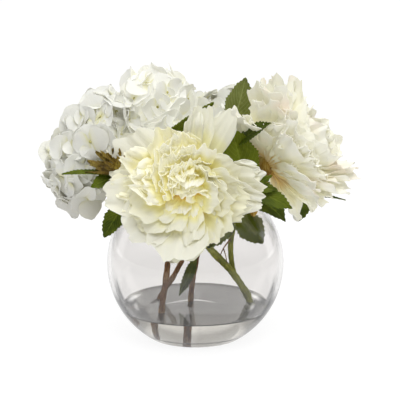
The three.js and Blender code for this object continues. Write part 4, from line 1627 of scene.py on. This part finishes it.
@dataclass
class Studio:
    """A pale floor, soft light and the camera at the photograph's angle."""

    target: tuple = (4.0, 0.0, 118.6)
    distance: float = 1300.0
    elevation: float = 12.5
    lens: float = 137.0
    sensor_width: float = 36.0
    reach: float = 100.0
    floor_size: float = 24.0
    floor_drop: float = 0.0002
    glow: float = 0.9
    world_strength: float = 0.6
    side_share: float = 0.6
    front_share: float = 0.55
    lamps: tuple = (
        ("key", (0.1, -1.0, 1.4), (0.7, 0.7), 7.4),
        ("top", (0.1, -0.2, 1.6), (0.9, 0.9), 6.6),
        ("left_strip", (-1.4, 0.7, 0.45), (0.5, 1.1), 1.2),
        ("right_strip", (1.4, 0.7, 0.45), (0.5, 1.1), 1.6),
    )

    def lay_floor(self) -> None:
        """Adds the floor: white near the bowl and behind it, and painted darker grey towards the sides and the front,
        as painted shade.
        """
        recipe = Recipe("pale_floor")
        x, y, _ = recipe.parts(recipe.place())
        # Painted shade: the floor's colour and glow fade to grey towards the sides and the front.
        across = recipe.number("MULTIPLY_ADD", y, -0.14, recipe.number("ABSOLUTE", x))
        aside = recipe.step(across, 0.23, 0.55, 0.0, 1.0)
        ahead = recipe.step(y, -1.0, -0.3, 1.0, 0.0)
        far = recipe.number("MAXIMUM", aside, ahead)
        colour = recipe.ramp(far, [(0.0, (1.0, 1.0, 1.0)), (1.0, (0.6, 0.6, 0.6))])
        finish = recipe.surface(
            Base_Color=recipe.mix(0.84, colour, (0.0, 0.0, 0.0)), Roughness=0.9, Emission_Color=colour,
            Emission_Strength=self.glow,
        )
        Bench.clear()
        bpy.ops.mesh.primitive_plane_add(size=self.floor_size, location=(0, 0, -self.floor_drop))
        floor = bpy.context.active_object
        floor.name = "pale_floor"
        Bench.dress(floor, finish)

    def set_world(self) -> None:
        """Lights the scene from all round, softer at the front and the sides, before a white backdrop."""
        recipe = Recipe("studio", world=True)
        number, step = recipe.number, recipe.step
        x, y, z = recipe.parts(recipe.node("TexCoord").outputs["Generated"])
        height = step(z, -0.1, 0.75, 0.75, 1.0)
        aside = step(number("ABSOLUTE", x), 0.3, 0.8, 0.0, self.side_share)
        ahead = step(y, -0.9, -0.2, self.front_share, 0.0)
        low = step(z, 0.2, 0.65, 1.0, 0.0)
        dark = number("MULTIPLY", number("MAXIMUM", aside, ahead), low)
        level = number("MULTIPLY", height, number("MULTIPLY_ADD", dark, -1.0, 1.0))
        behind = number("MULTIPLY", step(y, 0.78, 0.93, 0.0, 1.0), low)
        level = number("MAXIMUM", number("MULTIPLY", level, self.world_strength), behind)
        colour = recipe.ramp(level, [(0.0, (0.0, 0.0, 0.0)), (1.0, (1.0, 1.0, 1.0))])
        light = recipe.node("Background", {"Color": colour, "Strength": 1.0})
        recipe.node("OutputWorld", {"Surface": light.outputs[0]})
        bpy.context.scene.world = recipe.made

    def hang_lamp(self, name: str, place: tuple, size: tuple, power: float) -> None:
        """Adds a soft lamp that looks at the flowers.

        Args:
            name: the lamp's name.
            place: where it hangs, in metres.
            size: its width and its height, in metres.
            power: its power, in watts.
        """
        Bench.clear()
        bpy.ops.object.light_add(type="AREA", location=place)
        lamp = bpy.context.active_object
        lamp.name = name
        lamp.data.shape = "RECTANGLE"
        lamp.data.size, lamp.data.size_y = size
        lamp.data.energy = power
        aim = Vector(self.target) * MM - Vector(place)
        lamp.rotation_euler = aim.to_track_quat("-Z", "Y").to_euler()

    def set_camera(self) -> None:
        """Adds the camera."""
        tilt = radians(self.elevation)
        way = Vector((0, -cos(tilt), sin(tilt)))
        place = (Vector(self.target) + way * self.distance) * MM
        Bench.clear()
        bpy.ops.object.camera_add(location=place, rotation=(radians(90 - self.elevation), 0, 0))
        camera = bpy.context.active_object
        camera.data.lens = self.lens
        camera.data.sensor_width = self.sensor_width
        camera.data.clip_end = self.reach
        bpy.context.scene.camera = camera

    def build(self) -> None:
        """Sets up floor, light, camera and how the picture's tones are shown."""
        self.lay_floor()
        self.set_world()
        for lamp in self.lamps:
            self.hang_lamp(*lamp)
        self.set_camera()
        scene = bpy.context.scene
        scene.view_settings.view_transform = "Standard"
        scene.view_settings.look = "None"


def build_flowers(finishes: dict[str, Material]) -> None:
    """Makes the blooms.

    Args:
        finishes: all the finishes, by name.
    """
    cream = [finishes[name] for name in ("peony_cream", "peony_cream_shell", "peony_cream_inner", "green_skin")]
    Peony(
        "peony_front", (-6, -50, 139), (-0.05, -0.99, 0.13), 1, 1.0, 1.0, cream,
        FRONT_OUTER, FRONT_FILL, FRONT_INNER, FRONT_FILLING,
    ).build()
    blushed = [finishes["peony_cream_blushed"]] * 3 + [finishes["golden_base"]]
    Peony(
        "peony_right", (62, 0, 150), (0.86, -0.07, 0.5), 2, 1.36, 3.6, blushed,
        RIGHT_OUTER, RIGHT_FILL, RIGHT_INNER, RIGHT_FILLING,
    ).build()
    # The last field picks each head's finish; the top head takes the copy with painted light.
    heads = (
        ("hydrangea_left", (-85, -4, 162), (42.5, 42, 58), 25, (0.5, 0, -0.6), 30, 11, LEFT_LAYERS, 9.0, "white"),
        ("hydrangea_top", (-34, 26, 190), (40, 40, 45), 0, (0.1, 0, -1), 23, 12, TOP_LAYERS, 10.5, "bright"),
        ("hydrangea_back", (26, 62, 163), (43, 42, 43), 0, (-0.3, -0.6, -0.7), 22, 13, BACK_LAYERS, 8.0, "white"),
    )
    for *head, tone in heads:
        HydrangeaHead(*head, finishes["hydrangea_" + tone], finishes["floret_eye"]).build()


def build_greenery(finishes: dict[str, Material]) -> None:
    """Makes the stems, the leaves, the twigs and the buds.

    Args:
        finishes: all the finishes, by name.
    """
    for node, runs in WOODY_STEMS.items():
        Stem(node, runs, finishes["brown_bark"], Slot.WOOD).build()
    Stem("stem_peonies", PEONY_STEM, finishes["green_skin"], Slot.GREEN, knot_every=48.0, knot=0.12).build()
    faces = [finishes["leaf_upper"], finishes["leaf_under"]]
    for node, (stalk, blades) in LEAVES.items():
        Leaf(node, stalk, blades, faces, finishes["green_skin"]).build()
    Twigs("left_twigs", LEFT_TWIGS, finishes["olive_twig"]).build()
    for number, bud in enumerate(LEFT_BUDS):
        Bud(f"left_bud_{number}", finishes["olive_twig"], *bud).build()
    Twigs("low_twigs", LOW_TWIGS, finishes["brown_bark"]).build()
    Bud("small_bud", finishes["golden_base"], (46, -20, 134), (50, -48, 128), (-0.2, -0.3, -1), 13).build()


def main() -> None:
    """Builds the centrepiece around its solids and sets up the studio."""
    logging.basicConfig(level=logging.INFO, format="%(message)s")
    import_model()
    finishes = {finish.name: finish.make() for finish in FINISHES}
    bowl = GlassBowl(finishes["clear_glass"])
    bowl.build()
    Water([finishes["clear_water"], finishes["water_surface"]], bowl).build()
    build_greenery(finishes)
    build_flowers(finishes)
    Studio().build()


if __name__ == "__main__":
    main()
